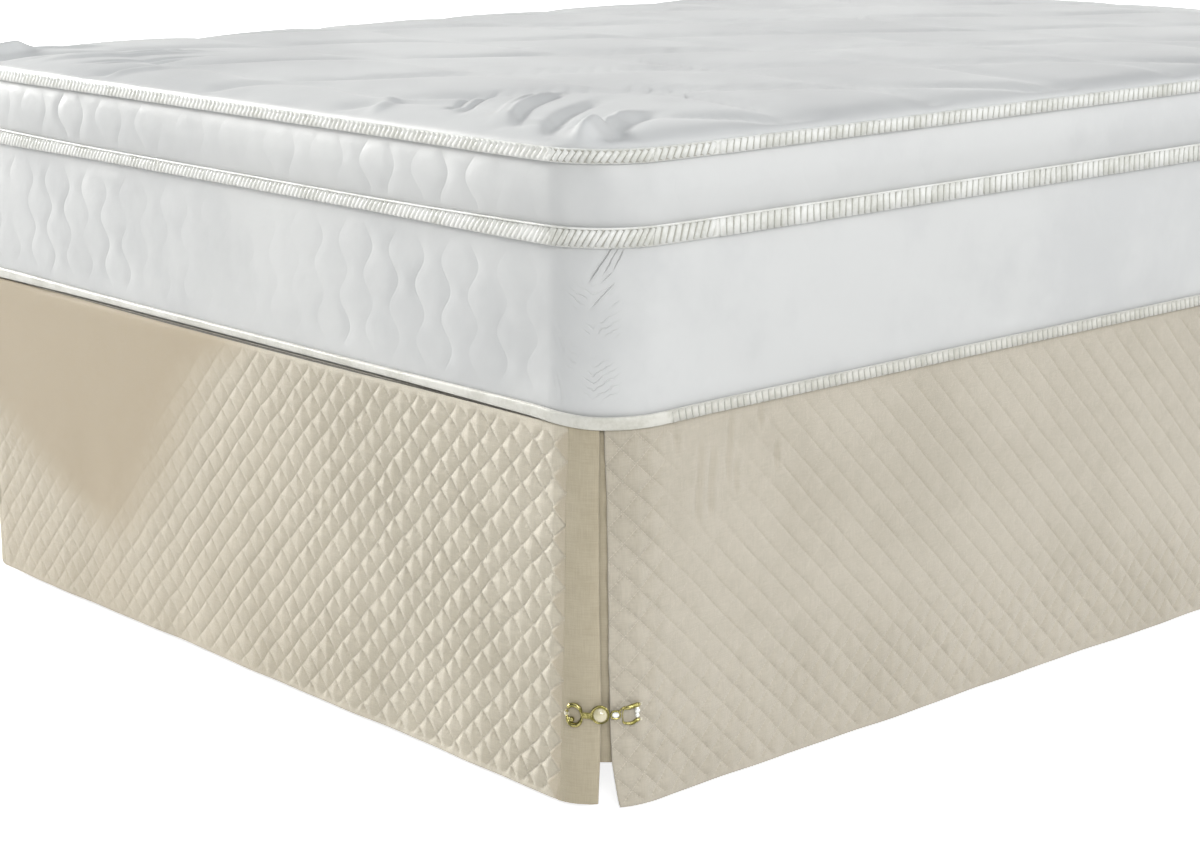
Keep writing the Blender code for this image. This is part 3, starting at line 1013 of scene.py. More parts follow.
@dataclass(frozen=True)
class QuiltLattice:
    """Square lattice of stitch lines at 45 degrees, counted in mesh steps."""

    pitch: float = 0.025  # between neighbouring parallel lines
    steps: int = 12  # mesh steps across a lozenge
    falling_start: int = 0  # shift of the lines that fall to the right
    rising_start: int = 0  # shift of the lines that rise to the right

    @property
    def step(self) -> float:
        """Size of a mesh step in metres."""
        return self.pitch * math.sqrt(2) / self.steps

    def lines(self, column: Array, row: Array) -> tuple[Array, Array]:
        """Line numbers of the falling and the rising family, whole on a line."""
        return ((column + row - self.falling_start) / self.steps,
                (column - row - self.rising_start) / self.steps)

    def middle(self, falling: Array, rising: Array) -> tuple[Array, Array]:
        """Column and row of the middle of each point's lozenge."""
        first, second = np.floor(falling) + 0.5, np.floor(rising) + 0.5
        total = self.steps * first + self.falling_start
        lag = self.steps * second + self.rising_start
        return (total + lag) / 2, (total - lag) / 2

    @staticmethod
    def roof(falling: Array, rising: Array) -> Array:
        """Puffed lozenge: an upright ridge, swollen on its left and straight on its right."""
        cells = np.floor(falling), np.floor(rising)
        first, second = falling - cells[0] - 0.5, rising - cells[1] - 0.5
        x, y = first + second, first - second
        half = np.maximum(1.0 - np.abs(y), 1e-6)
        crest = (0.36 * (chance(*cells, 1.0) - 0.5) - 0.08) * half
        left = np.clip((x + half) / (half + crest), 0.0, 1.3)
        right = np.clip((half - x) / (half - crest), 0.0, 1.3)
        left = 0.70 * left + 0.30 * (1 - np.maximum(1 - left, 0.0) ** 3)
        blunt = 0.10
        ridge = (left + right - np.sqrt((left - right) ** 2 + blunt ** 2)) / 2
        return np.clip(ridge * 1.05, 0.0, 1.0) * half ** 0.55


# ---- Sheets of cloth ----

def line_positions(count: int) -> Array:
    """Grid lines at whole steps, with extra ones close to both edges."""
    near = np.array([0.0, 0.12, 0.45])
    return np.concatenate([near, np.arange(1, count), count - near[::-1]])


def zipped(outer: Array, outer_at: Array, inner: Array, inner_at: Array) -> Array:
    """Triangles between two closed loops of vertices that run the same way.

    Args:
        outer: Vertex numbers of the finer loop.
        outer_at: Rising place of each on its loop, from 0.
        inner: Vertex numbers of the coarser loop.
        inner_at: Rising place of each on its loop, from 0.

    Returns:
        Array of triangles.
    """
    end = 4.0
    first = np.append(outer_at, end)
    second = np.append(inner_at, end)
    a = b = 0
    faces = []
    while a < len(outer) or b < len(inner):
        if b == len(inner) or (a < len(outer) and first[a + 1] <= second[b + 1]):
            faces.append((outer[a], outer[(a + 1) % len(outer)], inner[b % len(inner)]))
            a += 1
        else:
            faces.append((outer[a % len(outer)], inner[(b + 1) % len(inner)], inner[b]))
            b += 1
    return np.array(faces)


def loop_of(columns: int, rows: int) -> tuple[Array, Array]:
    """Border of a grid of points, anticlockwise from its first corner.

    Args:
        columns: Points in a row.
        rows: Number of rows.

    Returns:
        Numbers of the points, and the rising place of each from 0 to 4.
    """
    column, row = np.arange(columns), np.arange(rows)
    numbers = np.concatenate([column[:-1], row[:-1] * columns + columns - 1,
                              (rows - 1) * columns + column[:0:-1], row[:0:-1] * columns])
    across, up = column / (columns - 1), row / (rows - 1)
    places = np.concatenate([across[:-1], 1 + up[:-1], 3 - across[:0:-1], 4 - up[:0:-1]])
    return numbers, places


@dataclass
class Sheet:
    """Closed sheet of cloth on a grid, thin at its edges, with a coarse back."""

    name: str
    columns: int  # whole steps to the right
    rows: int  # whole steps up
    thickness: float = 0.002
    back_step: int = 4
    sewn: tuple[bool, bool] = (False, False)  # left and right edges joined to others
    form: SkirtForm = field(default_factory=SkirtForm)
    side: int = 1

    def grid(self) -> tuple[Array, Array]:
        """Column and row of every front point, in steps."""
        return np.meshgrid(line_positions(self.columns), line_positions(self.rows))

    def rounding(self, along: Array, height: Array) -> Array:
        """How far each face turns in towards the sheet's middle near its edges."""
        middle = self.thickness / 2
        scale = [20.0 if joined_on else 1.0 for joined_on in self.sewn]
        across = np.minimum((along - along[:, :1]) * scale[0], (along[:, -1:] - along) * scale[1])
        upright = np.minimum(height - height[:1], height[-1:] - height)
        near = np.clip(1 - np.minimum(across, upright) / middle, 0.0, 1.0)
        return middle * (1 - np.sqrt(1 - near ** 2))

    def put(self, along: Array, outward: Array, height: Array) -> Array:
        """Points of the sheet, which may cross from one half of the skirt to the other."""
        points = self.form.point(np.abs(along), outward, height, self.side)
        points[..., 0] *= np.sign(along) + (along == 0)
        return points.reshape(-1, 3)

    def build(self, along: Array, height: Array, front: Array,
              lattice: QuiltLattice | None = None) -> tuple[Mesh, Array]:
        """Mesh of the sheet.

        Args:
            along: Place of each front point along the skirt.
            height: Height of each front point.
            front: Outward place of each front point, before the edges are rounded.
            lattice: Stitch lines whose lozenges the front's triangles follow.

        Returns:
            The mesh, and the front grid index of each vertex.
        """
        rows, columns = along.shape
        inset = self.rounding(along, height)
        back_columns, back_rows = self.inner_lines(columns), self.inner_lines(rows)
        across, up = np.meshgrid(back_columns, back_rows)
        source = (up * columns + across).ravel()
        behind = self.put(*(values.ravel()[source] for values in (
            along, front - self.thickness + inset, height)))
        outer, outer_at = loop_of(columns, rows)
        inner, inner_at = loop_of(len(back_columns), len(back_rows))
        faces = [self.front_faces(columns, rows, lattice),
                 grid_faces(len(back_columns), len(back_rows), along.size)[:, ::-1],
                 zipped(outer, outer_at, inner + along.size, inner_at)[:, ::-1]]
        points = np.concatenate([self.put(along, front - inset, height), behind])
        return mesh_of(self.name, points, faces), np.concatenate([np.arange(along.size), source])

    def make_plain(self, along: Array, height: Array, outward: Array, level: Array,
                   material: Material) -> Object:
        """Piece of plain cloth.

        Args:
            along: Place of each front point along the skirt.
            height: Height of each front point.
            outward: Outward place of each front point.
            level: Height of each front point on the flat cloth.
            material: The cloth.

        Returns:
            The finished piece.
        """
        mesh, source = self.build(along, height, outward)
        give_uv(mesh, "cloth", np.stack([along, level], axis=-1).reshape(-1, 2)[source])
        return new_object(self.name, mesh, material)

    def inner_lines(self, count: int) -> Array:
        """Grid lines that the back keeps, both edges left out."""
        lines = np.arange(3, count - 3, self.back_step)
        return np.unique(np.concatenate([[2], lines, [count - 3]]))

    def front_faces(self, columns: int, rows: int, lattice: QuiltLattice | None) -> Array:
        """Triangles of the front, split along the nearest stitch line."""
        quads = grid_faces(columns, rows)
        if lattice is None:
            return quads
        column, row = (np.floor(part[:-1, :-1]) for part in self.grid())
        far = [np.minimum(value % lattice.steps, -value % lattice.steps).ravel()
               for value in (column + row + 1 - lattice.falling_start,
                             column - row - lattice.rising_start)]
        falling = (far[0] <= far[1])[:, None]
        first = np.where(falling, quads[:, [0, 1, 3]], quads[:, [0, 1, 2]])
        second = np.where(falling, quads[:, [1, 2, 3]], quads[:, [0, 2, 3]])
        return np.concatenate([first, second])


def sharpen(mesh: Mesh, lines: Sequence[Array], strength: Array) -> None:
    """Keep the shading crisp along stitch lines.

    Args:
        mesh: The mesh, whose vertices the arrays follow.
        lines: Line numbers of each family, whole on a line.
        strength: How deep the quilting is at each vertex.
    """
    ends = np.zeros(len(mesh.edges) * 2, np.int32)
    mesh.edges.foreach_get("vertices", ends)
    start, end = ends.reshape(-1, 2).T
    deep = np.minimum(strength[start], strength[end]) > 0.3
    crisp = np.zeros(len(mesh.edges), bool)
    for numbers in lines:
        whole = np.abs(numbers - np.round(numbers)) < 1e-4
        crisp |= whole[start] & whole[end] & (np.abs(numbers[start] - numbers[end]) < 1e-4)
    layer = mesh.attributes.get("sharp_edge") or mesh.attributes.new("sharp_edge", "BOOLEAN", "EDGE")
    layer.data.foreach_set("value", crisp & deep)


@dataclass
class Lie:
    """How a quilted panel lies and how deep its quilting is, at each grid point."""

    along: Array
    outward: Array  # place of its smooth face
    puff: Array  # strength of the puffed lozenges
    fall: Array  # strength of the falling lines
    climb: Array  # strength of the rising lines
    extra: Array  # creases of its own, added to the relief
    # tint: share of the darker plain colour, which paints shade on the foot's left side and wedge.
    tint: Array | float = 0.0  # share of the plain cloth's colour
    flat: Array | float = 0.0  # share by which whole lozenges are pressed flat


@dataclass
class QuiltedPanel(Sheet):
    """Quilted panel of the skirt: crowned lozenges between sunk stitch lines."""

    lattice: QuiltLattice = field(default_factory=QuiltLattice)
    thickness: float = 0.0045
    depth: float = 0.0042  # from a lozenge's crown down to its stitch line
    top_margin: float = 0.016  # plain strip under the mattress
    hem_margin: float = 0.010  # plain strip over the hem
    waver: float = 1.4 * MM  # how far a stitch line strays
    line_reach: float = 1.9 * MM  # half width of a sunk line on smooth cloth
    crowns: tuple[float, float] = (0.78, 0.30)  # least height of a lozenge, and more by chance
    smooth_sink: tuple[float, float] = (0.25, 0.55)  # share of the depth between lines, and on them
    margin_sink: float = 0.4  # share of the depth at which the plain strips lie
    press: float = 1.5 * MM  # how far flat lozenges are pressed in

    def lie(self, column: Array, height: Array, middle: Array) -> Lie:
        """How the panel lies, from its columns, heights and its lozenges' middle columns."""
        raise NotImplementedError

    def make(self, material: Material) -> Object:
        """Build and dress the panel."""
        column, row = self.grid()
        height = self.form.hem + row / self.rows * (self.form.top - self.form.hem)
        falling, rising = self.lattice.lines(column, row)
        middle = self.lattice.middle(falling, rising)
        lie = self.lie(column, height, middle[0])
        margin = (smooth(0.003, self.hem_margin, height - self.form.hem)
                  * smooth(0.002, self.top_margin, self.form.top - height))
        crown = self.crowns[0] + self.crowns[1] * chance(*middle, 2.0)
        roof = self.lattice.roof(falling, rising)
        open_cloth = 1.0
        for strength, numbers in ((lie.fall, falling), (lie.climb, rising)):
            near = np.abs(numbers - np.round(numbers)) * self.lattice.pitch
            open_cloth = open_cloth * (1 - strength * np.exp(-(near / self.line_reach) ** 1.3))
        bare, lined = self.smooth_sink
        sunk = lie.puff * (1 - roof * crown) + (1 - lie.puff) * (bare + lined * (1 - open_cloth))
        sunk = (self.margin_sink * (1 - margin) + sunk * margin) * (1 - lie.flat)
        relief = lie.extra - self.depth * np.clip(sunk, 0.0, 1.0) - self.press * lie.flat
        shown = margin * (1 - lie.flat)
        mesh, source = self.build(
            lie.along + self.waver * ripple(lie.along, height, 0.09, 1.0) * shown,
            height + self.waver * ripple(lie.along, height, 0.08, 2.0) * shown,
            lie.outward + relief, self.lattice)
        flat = np.stack([lie.along, height], axis=-1).reshape(-1, 2)
        give_uv(mesh, "cloth", flat[source])
        lines = [numbers.ravel()[source] for numbers in (falling, rising)]
        give_uv(mesh, "quilt", np.stack(lines, axis=-1))
        strength = shown * np.maximum(lie.puff, 0.5 * (lie.fall + lie.climb))
        strength = strength.ravel()[source]
        strength[height.size:] = 0.0
        give_value(mesh, "quilting", strength)
        # Painted shade on the foot's left side and wedge, and the plain look near the seams, as a share
        # of the darker plain colour.
        tint = np.maximum(0.35 * lie.flat, lie.tint)
        give_value(mesh, "plain", np.broadcast_to(tint, height.shape).ravel()[source])
        sharpen(mesh, lines, strength)
        return new_object(self.name, mesh, material)


@dataclass
class FootPanel(QuiltedPanel):
    """Quilted panel across the foot end, from one plain band to the other.

    Its lozenges are full at the right, softer to the left and pressed flat in a wedge. Its
    left side, and the wedge most, are painted with shade in the plain cloth's colour.
    """

    seam_ease: float = 0.16  # stretch of cloth that takes up the slanting seams
    sewn: tuple[bool, bool] = (True, True)
    plumpness: tuple[Place, ...] = (
        # along, strength of the puffed lozenges
        (-0.55, 0.26), (-0.35, 0.20), (0.0, 0.37), (0.20, 0.72), (0.42, 1.0),
    )
    painted_shade: tuple[Place, ...] = (
        # along, share of the plain cloth's colour, painted as shade on the left where the light falls
        # off
        (-0.60, 0.36), (-0.35, 0.28), (0.0, 0.18), (0.35, 0.0),
    )
    wedge: tuple[tuple[float, float, float], ...] = (
        # height, left and right edge of the part that is pressed flat
        (0.100, -0.29, -0.31), (0.150, -0.38, -0.25), (0.175, -0.46, -0.215),
        (0.240, -0.60, -0.16), (0.310, -0.76, -0.11), (0.386, -0.90, -0.055),
        (0.430, -0.90, 0.03),
    )

    def lie(self, column: Array, height: Array, middle: Array) -> Lie:
        """Columns eased near the seams, and a top edge that turns in under the mattress."""
        half = self.columns / 2 * self.lattice.step
        along = (column / self.columns * 2 - 1) * half
        seam = self.form.corner - self.form.split(height, 3)
        near = smooth(half - self.seam_ease, half, np.abs(along))
        along = along + np.sign(along) * (seam - half) * near
        kick = self.form.flare(0.001, self.form.corner - np.abs(along), height)
        pressed = self.pressed(along, height)
        # Share of painted shade, darker to the left where the light falls off.
        plump, shade_share = between(self.plumpness, along), between(self.painted_shade, along)
        tuck = smooth(-0.62, -0.45, along) * (1 - smooth(0.30, 0.50, along))
        inside = (self.columns / 2 - np.abs(middle - self.columns / 2)) / self.lattice.steps
        return Lie(along, self.form.swing(along, height) + kick, puff=plump * (1 - pressed),
                   fall=0.25 * (1 - pressed), climb=0.25 * (1 - pressed),
                   extra=-2.6 * MM * (1 - smooth(0.0, 0.007, self.form.top - height)) * tuck,
                   tint=shade_share + (0.82 - shade_share) * pressed ** 1.2,
                   flat=1.0 - np.clip((inside - 0.15) / 0.35, 0.0, 1.0))

    def pressed(self, along: Array, height: Array) -> Array:
        """Share by which the upper left of the panel is pressed flat, down to a tip."""
        left, right = (between(self.wedge, height, column) for column in (1, 2))
        return 0.97 * (1 - smooth(-0.105, 0.080, along - right)) * smooth(-0.130, 0.110, along - left)


@dataclass
class SidePanel(QuiltedPanel):
    """Quilted panel down one side, from the split to its plain end at the head."""

    puckers: tuple[tuple[float, float, float], ...] = (
        # distance from the corner's middle, lowest and highest height
        (0.092, 0.402, 0.425),
        (0.125, 0.318, 0.408),
        (0.144, 0.322, 0.398),
        (0.171, 0.354, 0.430),
        (0.182, 0.342, 0.380),
        (0.220, 0.412, 0.432),
        (0.247, 0.355, 0.388),
    )
    waver: float = 0.7 * MM
    start: float = 0.006  # of the even columns, from the corner's middle

    def lie(self, column: Array, height: Array, middle: Array) -> Lie:
        """Crisp near the split, then fading, with the falling lines the stronger."""
        share = column / self.columns
        start = self.form.corner + self.start
        along = start + share * (self.form.side_end - start)
        edge = self.form.corner + self.form.split(height, 2)
        along = along + (edge - start) * (1 - smooth(0.0, 0.12, along - start))
        away = along - self.form.corner
        phase = (2.1 if self.side < 0 else 0.0) * share
        swing = self.form.swing(self.side * along, height, phase)
        low = 1 - smooth(0.09, 0.20, height)
        near = 1 - smooth(0.035, 0.085, away)
        pulled = hump(away, 0.145, 0.06) * smooth(0.27, 0.37, height)
        return Lie(along, swing + self.form.flare(0.005, away, height),
                   puff=np.clip(0.03 + 0.62 * low + near, 0.0, 1.0) * (1 - 0.7 * pulled),
                   fall=(0.60 + 0.40 * near) * (1 - 0.85 * pulled),
                   climb=np.clip(0.04 + 0.96 * near + 0.20 * low, 0.0, 1.0) * (1 - 0.8 * pulled),
                   extra=self.puckered(away, height))

    def puckered(self, away: Array, height: Array) -> Array:
        """Relief of the thin upright puckers below the mattress."""
        total = np.zeros_like(away)
        for middle, low, high in self.puckers:
            bend = 0.002 * np.sin((height - low) * 60.0)
            span = smooth(low - 0.006, low + 0.008, height) * (
                1 - smooth(high - 0.008, high + 0.006, height))
            total -= 2.4 * MM * hump(away + bend, middle, 0.0032) * span
            total += 1.2 * MM * hump(away + bend, middle + 0.007, 0.005) * span
        return total


@dataclass
class PlainBand(Sheet):
    """Plain band between the foot panel's seam and the split."""

    sewn: tuple[bool, bool] = (True, False)
    inset: float = 0.0015
    hem_lift: float = 0.003

    def make(self, material: Material) -> Object:
        """Build and dress the band."""
        column, row = self.grid()
        share = column / self.columns
        drop = row / self.rows
        height = self.form.hem + drop * (self.form.top - self.form.hem)
        seam = self.form.corner - self.form.split(height, 3) - 0.0002
        edge = self.form.corner - self.form.split(height, 1)
        along = seam + share * (edge - seam)
        outward = self.form.swing(self.side * along, height) - self.inset
        outward = outward + self.form.flare(0.001, self.form.corner - along, height)
        outward = outward + self.folds(share, height, along)
        lifted = height + self.hem_lift * share ** 2 * (1 - drop)
        return self.make_plain(along, lifted, outward, height, material)

    def folds(self, share: Array, height: Array, along: Array) -> Array:
        """Soft upright drag folds, and the tuck of the band's upper corner."""
        soft = 0.35 * MM * ripple(along * 2.2, height * 0.35, 0.06, 5.0) * np.sin(
            math.pi * np.clip(share, 0, 1)) ** 0.5
        away = self.form.corner - along
        arc = 0.402 + 0.024 * smooth(0.002, 0.030, away)
        tuck = smooth(-0.0015, 0.0015, height - arc) * (1 - smooth(0.022, 0.034, away))
        rolled = -0.9 * MM * hump(share, 1.0, 0.09) * smooth(0.40, 0.37, height)
        return soft + 0.7 * MM * tuck + rolled


@dataclass
class Underlay(Sheet):
    """Plain strip that turns the corner behind the split."""

    inset: float = 0.006
    half_width: float = 0.047
    bottom: float = 0.0585
    top: float = 0.4380

    def make(self, material: Material) -> Object:
        """Build and dress the underlay."""
        column, row = self.grid()
        along = self.form.corner + (2 * column / self.columns - 1) * self.half_width
        height = self.bottom + row / self.rows * (self.top - self.bottom)
        outward = -self.inset - 0.25 * MM * (1 + ripple(along, height * 0.3, 0.05, 3.0))
        return self.make_plain(along, height, outward, height, material)


# ---- Rounded outlines ----

@dataclass(frozen=True)
class RoundOutline:
    """Plan of a bed with round corners, walked anticlockwise from the foot's middle.

    The walk is a list of places: which of nine stretches, straight ones and corners by
    turns, and how far through it. Rings that share the walk have their points square to
    each other's, however far they are inset.
    """

    half_width: float = 0.690
    half_length: float = 0.940
    radius: float = 0.090
    head_radius: float = 0.090
    foot_step: float = 0.005
    turn_step: float = 0.005
    side_step: float = 0.008
    head_step: float = 0.010
    ease: float = 0.0065  # how far the foot corners are rounded in
    least: float = 0.018  # radius that a corner keeps however far it is inset

    def stretches(self) -> list[Place]:
        """Length of each stretch and the wanted step on it."""
        half = [(self.half_width - self.radius, self.foot_step),
                (self.radius * math.pi / 2, self.turn_step),
                (2 * self.half_length - self.radius - self.head_radius, self.side_step),
                (self.head_radius * math.pi / 2, self.head_step)]
        head = 2 * (self.half_width - self.head_radius)
        return [*half, (head, self.head_step), *reversed(half)]

    def walk(self) -> tuple[Array, Array]:
        """Stretch number and share for each point of a ring."""
        places = []
        for number, (length, step) in enumerate(self.stretches()):
            count = max(3, round(length / step))
            places += [(number, part / count) for part in range(count)]
        numbers, shares = np.array(places).T
        return numbers.astype(int), shares

    def ring(self, inset: float | Array) -> tuple[Array, Array, Array]:
        """Points of the ring at an inset, its normals and distances.

        Args:
            inset: Distance inwards from the outline, one for all or one a point.

        Returns:
            X and Y of each point, the outward normals, and the distance walked on the
            uninset outline.
        """
        number, share = self.walk()
        inset = np.broadcast_to(np.asarray(inset, float), share.shape)
        wide, long = self.half_width - inset, self.half_length - inset
        foot, head = (np.clip(radius - inset, np.minimum(self.least, wide * 0.9), wide)
                      for radius in (self.radius, self.head_radius))
        middle = (0 * wide, foot - long, foot)
        corners = (
            # centre x, centre y, radius
            (wide - foot, foot - long, foot), (wide - head, long - head, head),
            (head - wide, long - head, head), (foot - wide, foot - long, foot),
        )
        ends = np.array([middle, *(corner for corner in corners for _ in range(2)), middle])
        point = np.arange(len(share))
        start, end = ends[number, :, point], ends[number + 1, :, point]
        placed = start + share[:, None] * (end - start)
        turn = (number // 2 - 1 + number % 2 * share) * math.pi / 2
        normal = np.stack([np.cos(turn), np.sin(turn)], axis=-1)
        return placed[:, :2] + placed[:, 2:] * normal, normal, self.distances()

    def eased(self, run: Array, height: Array | float) -> Array:
        """How far in the foot corners stand at a height, above the bottom tape."""
        middle = self.half_width - self.radius * (1 - math.pi / 4)
        away = (np.abs(run) - middle) / 0.105
        return self.ease * np.exp(-away ** 2) * smooth(0.458, 0.540, height)

    def distances(self) -> Array:
        """Distance of each point from the foot's middle: positive on the right half."""
        lengths = np.array([length for length, _ in self.stretches()])
        starts = np.concatenate([[0.0], np.cumsum(lengths)])
        number, share = self.walk()
        run = starts[number] + share * lengths[number]
        return np.where(run > starts[-1] / 2, run - starts[-1], run)


# ---- Mattress ----

def from_lines(across: Array, pitch: float, wave: Array) -> Array:
    """Distance to the nearest of many wavy lines, of which every other one is mirrored.

    Args:
        across: Place of each point square to the lines.
        pitch: Distance between neighbouring lines.
        wave: Swing of the even lines beside each point.

    Returns:
        The distance at each point.
    """
    nearest = np.full(np.broadcast(across, wave).shape, 1.0)
    for shift in (-1, 0, 1):
        number = np.round(across / pitch) + shift
        line = number * pitch + np.where(number % 2 == 0, wave, -wave)
        nearest = np.minimum(nearest, np.abs(across - line))
    return nearest


@dataclass(frozen=True)
class Crease:
    """Soft ridge or furrow along a bowed line on a flat map."""

    start: Place
    end: Place
    width: float
    height: float  # negative for a furrow
    bow: float = 0.0  # bend to the left of the way from start to end

    def lift(self, x: Array, y: Array) -> Array:
        """Relief of the crease at each point."""
        length = math.dist(self.start, self.end)
        ahead = [(end - start) / length for start, end in zip(self.start, self.end)]
        away = (x - self.start[0], y - self.start[1])
        along = (away[0] * ahead[0] + away[1] * ahead[1]) / length
        off = away[1] * ahead[0] - away[0] * ahead[1] - 4 * self.bow * along * (1 - along)
        return self.height * hump(off, 0.0, self.width) * smooth(-0.05, 0.25, along) * (
            1 - smooth(0.75, 1.05, along))


@dataclass
class Mattress:
    """Pillow-top mattress with quilted borders."""

    outline: RoundOutline = field(default_factory=lambda: RoundOutline(
        foot_step=0.004, turn_step=0.002, side_step=0.014, head_step=0.016))
    profile: tuple[Place, ...] = (
        # inset, height
        (0.0120, 0.4401), (0.0050, 0.4420), (0.0036, 0.4480), (0.0036, 0.4562),
        (0.0012, 0.5000), (0.0002, 0.5450), (0.0012, 0.5900), (0.0034, 0.6300),
        (0.0036, 0.6420), (0.0034, 0.6540), (0.0006, 0.6680), (-0.0014, 0.6860),
        (0.0004, 0.7060), (0.0034, 0.7190), (0.0040, 0.7280), (0.0060, 0.7370),
        (0.0180, 0.7440), (0.0450, 0.7505), (0.1000, 0.7550), (0.2200, 0.7580),
    )
    border_step: float = 0.0044
    rim_step: float = 0.0056
    rim_reach: float = 0.18
    top_step: float = 0.020
    centre_inset: float = 0.684
    border_depth: float = 0.0011
    top_depth: float = 0.0060
    top_pitch: float = 0.135  # between the wavy sewn lines of the top
    pulls: tuple[Crease, ...] = (
        # on the plan, from the foot's middle to the right
        Crease((0.230, -0.860), (0.290, -0.930), 0.010, 0.0050, 0.006),
        Crease((0.305, -0.790), (0.374, -0.887), 0.0055, -0.0042, 0.0),
        Crease((0.310, -0.756), (0.412, -0.901), 0.0055, -0.0045, -0.005),
        Crease((0.351, -0.730), (0.496, -0.917), 0.0055, 0.0042, -0.010),
        Crease((0.360, -0.700), (0.512, -0.915), 0.0060, 0.0052, -0.018),
        Crease((0.378, -0.700), (0.530, -0.910), 0.0060, -0.0042, -0.018),
        Crease((0.455, -0.710), (0.606, -0.930), 0.0120, -0.0080, -0.020),
        Crease((0.548, -0.760), (0.628, -0.880), 0.0080, 0.0045, -0.008),
        Crease((0.565, -0.745), (0.666, -0.905), 0.0130, -0.0075, -0.009),
        Crease((0.646, -0.938), (0.598, -0.858), 0.0140, 0.0150, 0.0),
    )
    folds: tuple[Crease, ...] = (
        # distance from the corner's middle, and height
        Crease((0.018, 0.640), (-0.020, 0.590), 0.0030, -0.0011, -0.003),
        Crease((0.027, 0.630), (-0.006, 0.590), 0.0030, -0.0009, -0.003),
        Crease((0.016, 0.597), (-0.018, 0.562), 0.0028, -0.0008, -0.002),
        Crease((-0.062, 0.545), (-0.047, 0.512), 0.0026, -0.0013, 0.002),
        Crease((-0.060, 0.500), (-0.049, 0.458), 0.0028, -0.0013, 0.003),
        Crease((0.036, 0.470), (0.052, 0.456), 0.0026, -0.0008, 0.0),
    )

    def rings(self) -> Array:
        """Inset and height of each ring, from the underside to the middle of the top."""
        line = catmull(self.profile, 6)
        side = line[(line[:, 0] < 0.02) & (line[:, 1] < 0.7445)]
        crown = line[len(side) - 1:]
        near = crown[:, 0] <= self.rim_reach
        rest = np.concatenate([crown[near][-1:], crown[~near],
                               [[self.centre_inset, self.profile[-1][1]]]])
        under = [[inset, self.profile[0][1]] for inset in (0.300, 0.060)]
        return np.concatenate([under, respaced(side, self.border_step),
                               respaced(crown[near], self.rim_step)[1:],
                               respaced(rest, self.top_step)[1:]])

    def figure(self, run: Array, height: Array) -> Array:
        """How strongly the border's quilting shows."""
        foot = hump(np.abs(run), 0.38, 0.20) * (np.abs(run) < 0.62)
        lower = smooth(*BORDER_FOOT, height) * (1 - smooth(0.604, 0.626, height))
        upper = smooth(0.655, 0.662, height) * (1 - smooth(0.710, 0.718, height))
        away = np.abs(np.abs(run) - MATTRESS_CORNER)
        uneven = 0.75 + 0.5 * ripple(run, height, 0.12, 9.0)
        return (0.16 + 0.84 * foot) * (lower + 1.1 * upper) * smooth(0.035, 0.10, away) * uneven

    def border_relief(self, run: Array, height: Array, figure: Array) -> Array:
        """Outward relief of the side faces: quilting, and folds at the foot corners."""
        wave = OGEE_SWING * np.sin(2 * math.pi * (height - OGEE_START) / OGEE_LENGTH)
        sunk = np.exp(-(from_lines(run, OGEE_PITCH, wave) / 0.0085) ** 1.4)
        lower = smooth(*BORDER_FOOT, height) * (1 - smooth(0.612, 0.628, height))
        return (1.0 * MM * ripple(run, height, 0.21, 4.0) * lower
                - self.border_depth * sunk * figure
                + sum(fold.lift(np.abs(run) - MATTRESS_CORNER, height) for fold in self.folds))

    def top_relief(self, x: Array, y: Array) -> Array:
        """Relief of the top: large leaf shaped lobes between sewn lines, and pulls."""
        turn = math.radians(28)
        ahead = x * math.cos(turn) + y * math.sin(turn)
        across = y * math.cos(turn) - x * math.sin(turn)
        wave = 0.052 * np.sin(2 * math.pi * ahead / 0.46 + 0.6)
        leaf = np.exp(-(from_lines(across, self.top_pitch, wave) / 0.020) ** 1.4)
        corner = smooth(0.30, 0.40, np.abs(x)) * (1 - smooth(-0.80, -0.70, y))
        soft = 1.2 * MM * ripple(x, y, 0.30, 6.0) - self.top_depth * leaf
        return soft * (1 - 0.6 * corner) + sum(pull.lift(np.abs(x), y) for pull in self.pulls)

    def make_body(self, material: Material) -> Object:
        """Closed mesh of the mattress without its tapes."""
        layers, places, figures = [], [], []
        for inset, height in self.rings():
            flat, normal, run = self.outline.ring(inset)
            level = np.full(len(run), height)
            shown = self.figure(run, level) if inset < 0.02 else 0.0 * run
            relief = self.border_relief(run, level, shown) * (1 - smooth(0.004, 0.014, inset))
            eased = self.outline.eased(run, level) * (1 - smooth(0.02, 0.25, inset))
            flat = flat + normal * (relief - eased)[:, None]
            crown = smooth(0.006, 0.030, inset) if height > 0.70 else 0.0
            lift = self.top_relief(flat[:, 0], flat[:, 1]) * crown
            layers.append(np.column_stack([flat, height + lift]))
            places.append(np.column_stack([run, level]))
            figures.append(shown)
        mesh = closed_loft("mattress_body", layers)
        give_uv(mesh, "border", np.concatenate(places))
        give_value(mesh, "figure", np.concatenate(figures))
        return new_object("mattress_body", mesh, material)


@dataclass(frozen=True)
class RibRow:
    """Stretch of a tape that carries ribs, alike on both halves of the mattress."""

    start: float  # distance from the foot's middle
    end: float
    pitch: float
    rise: float
    slant: float


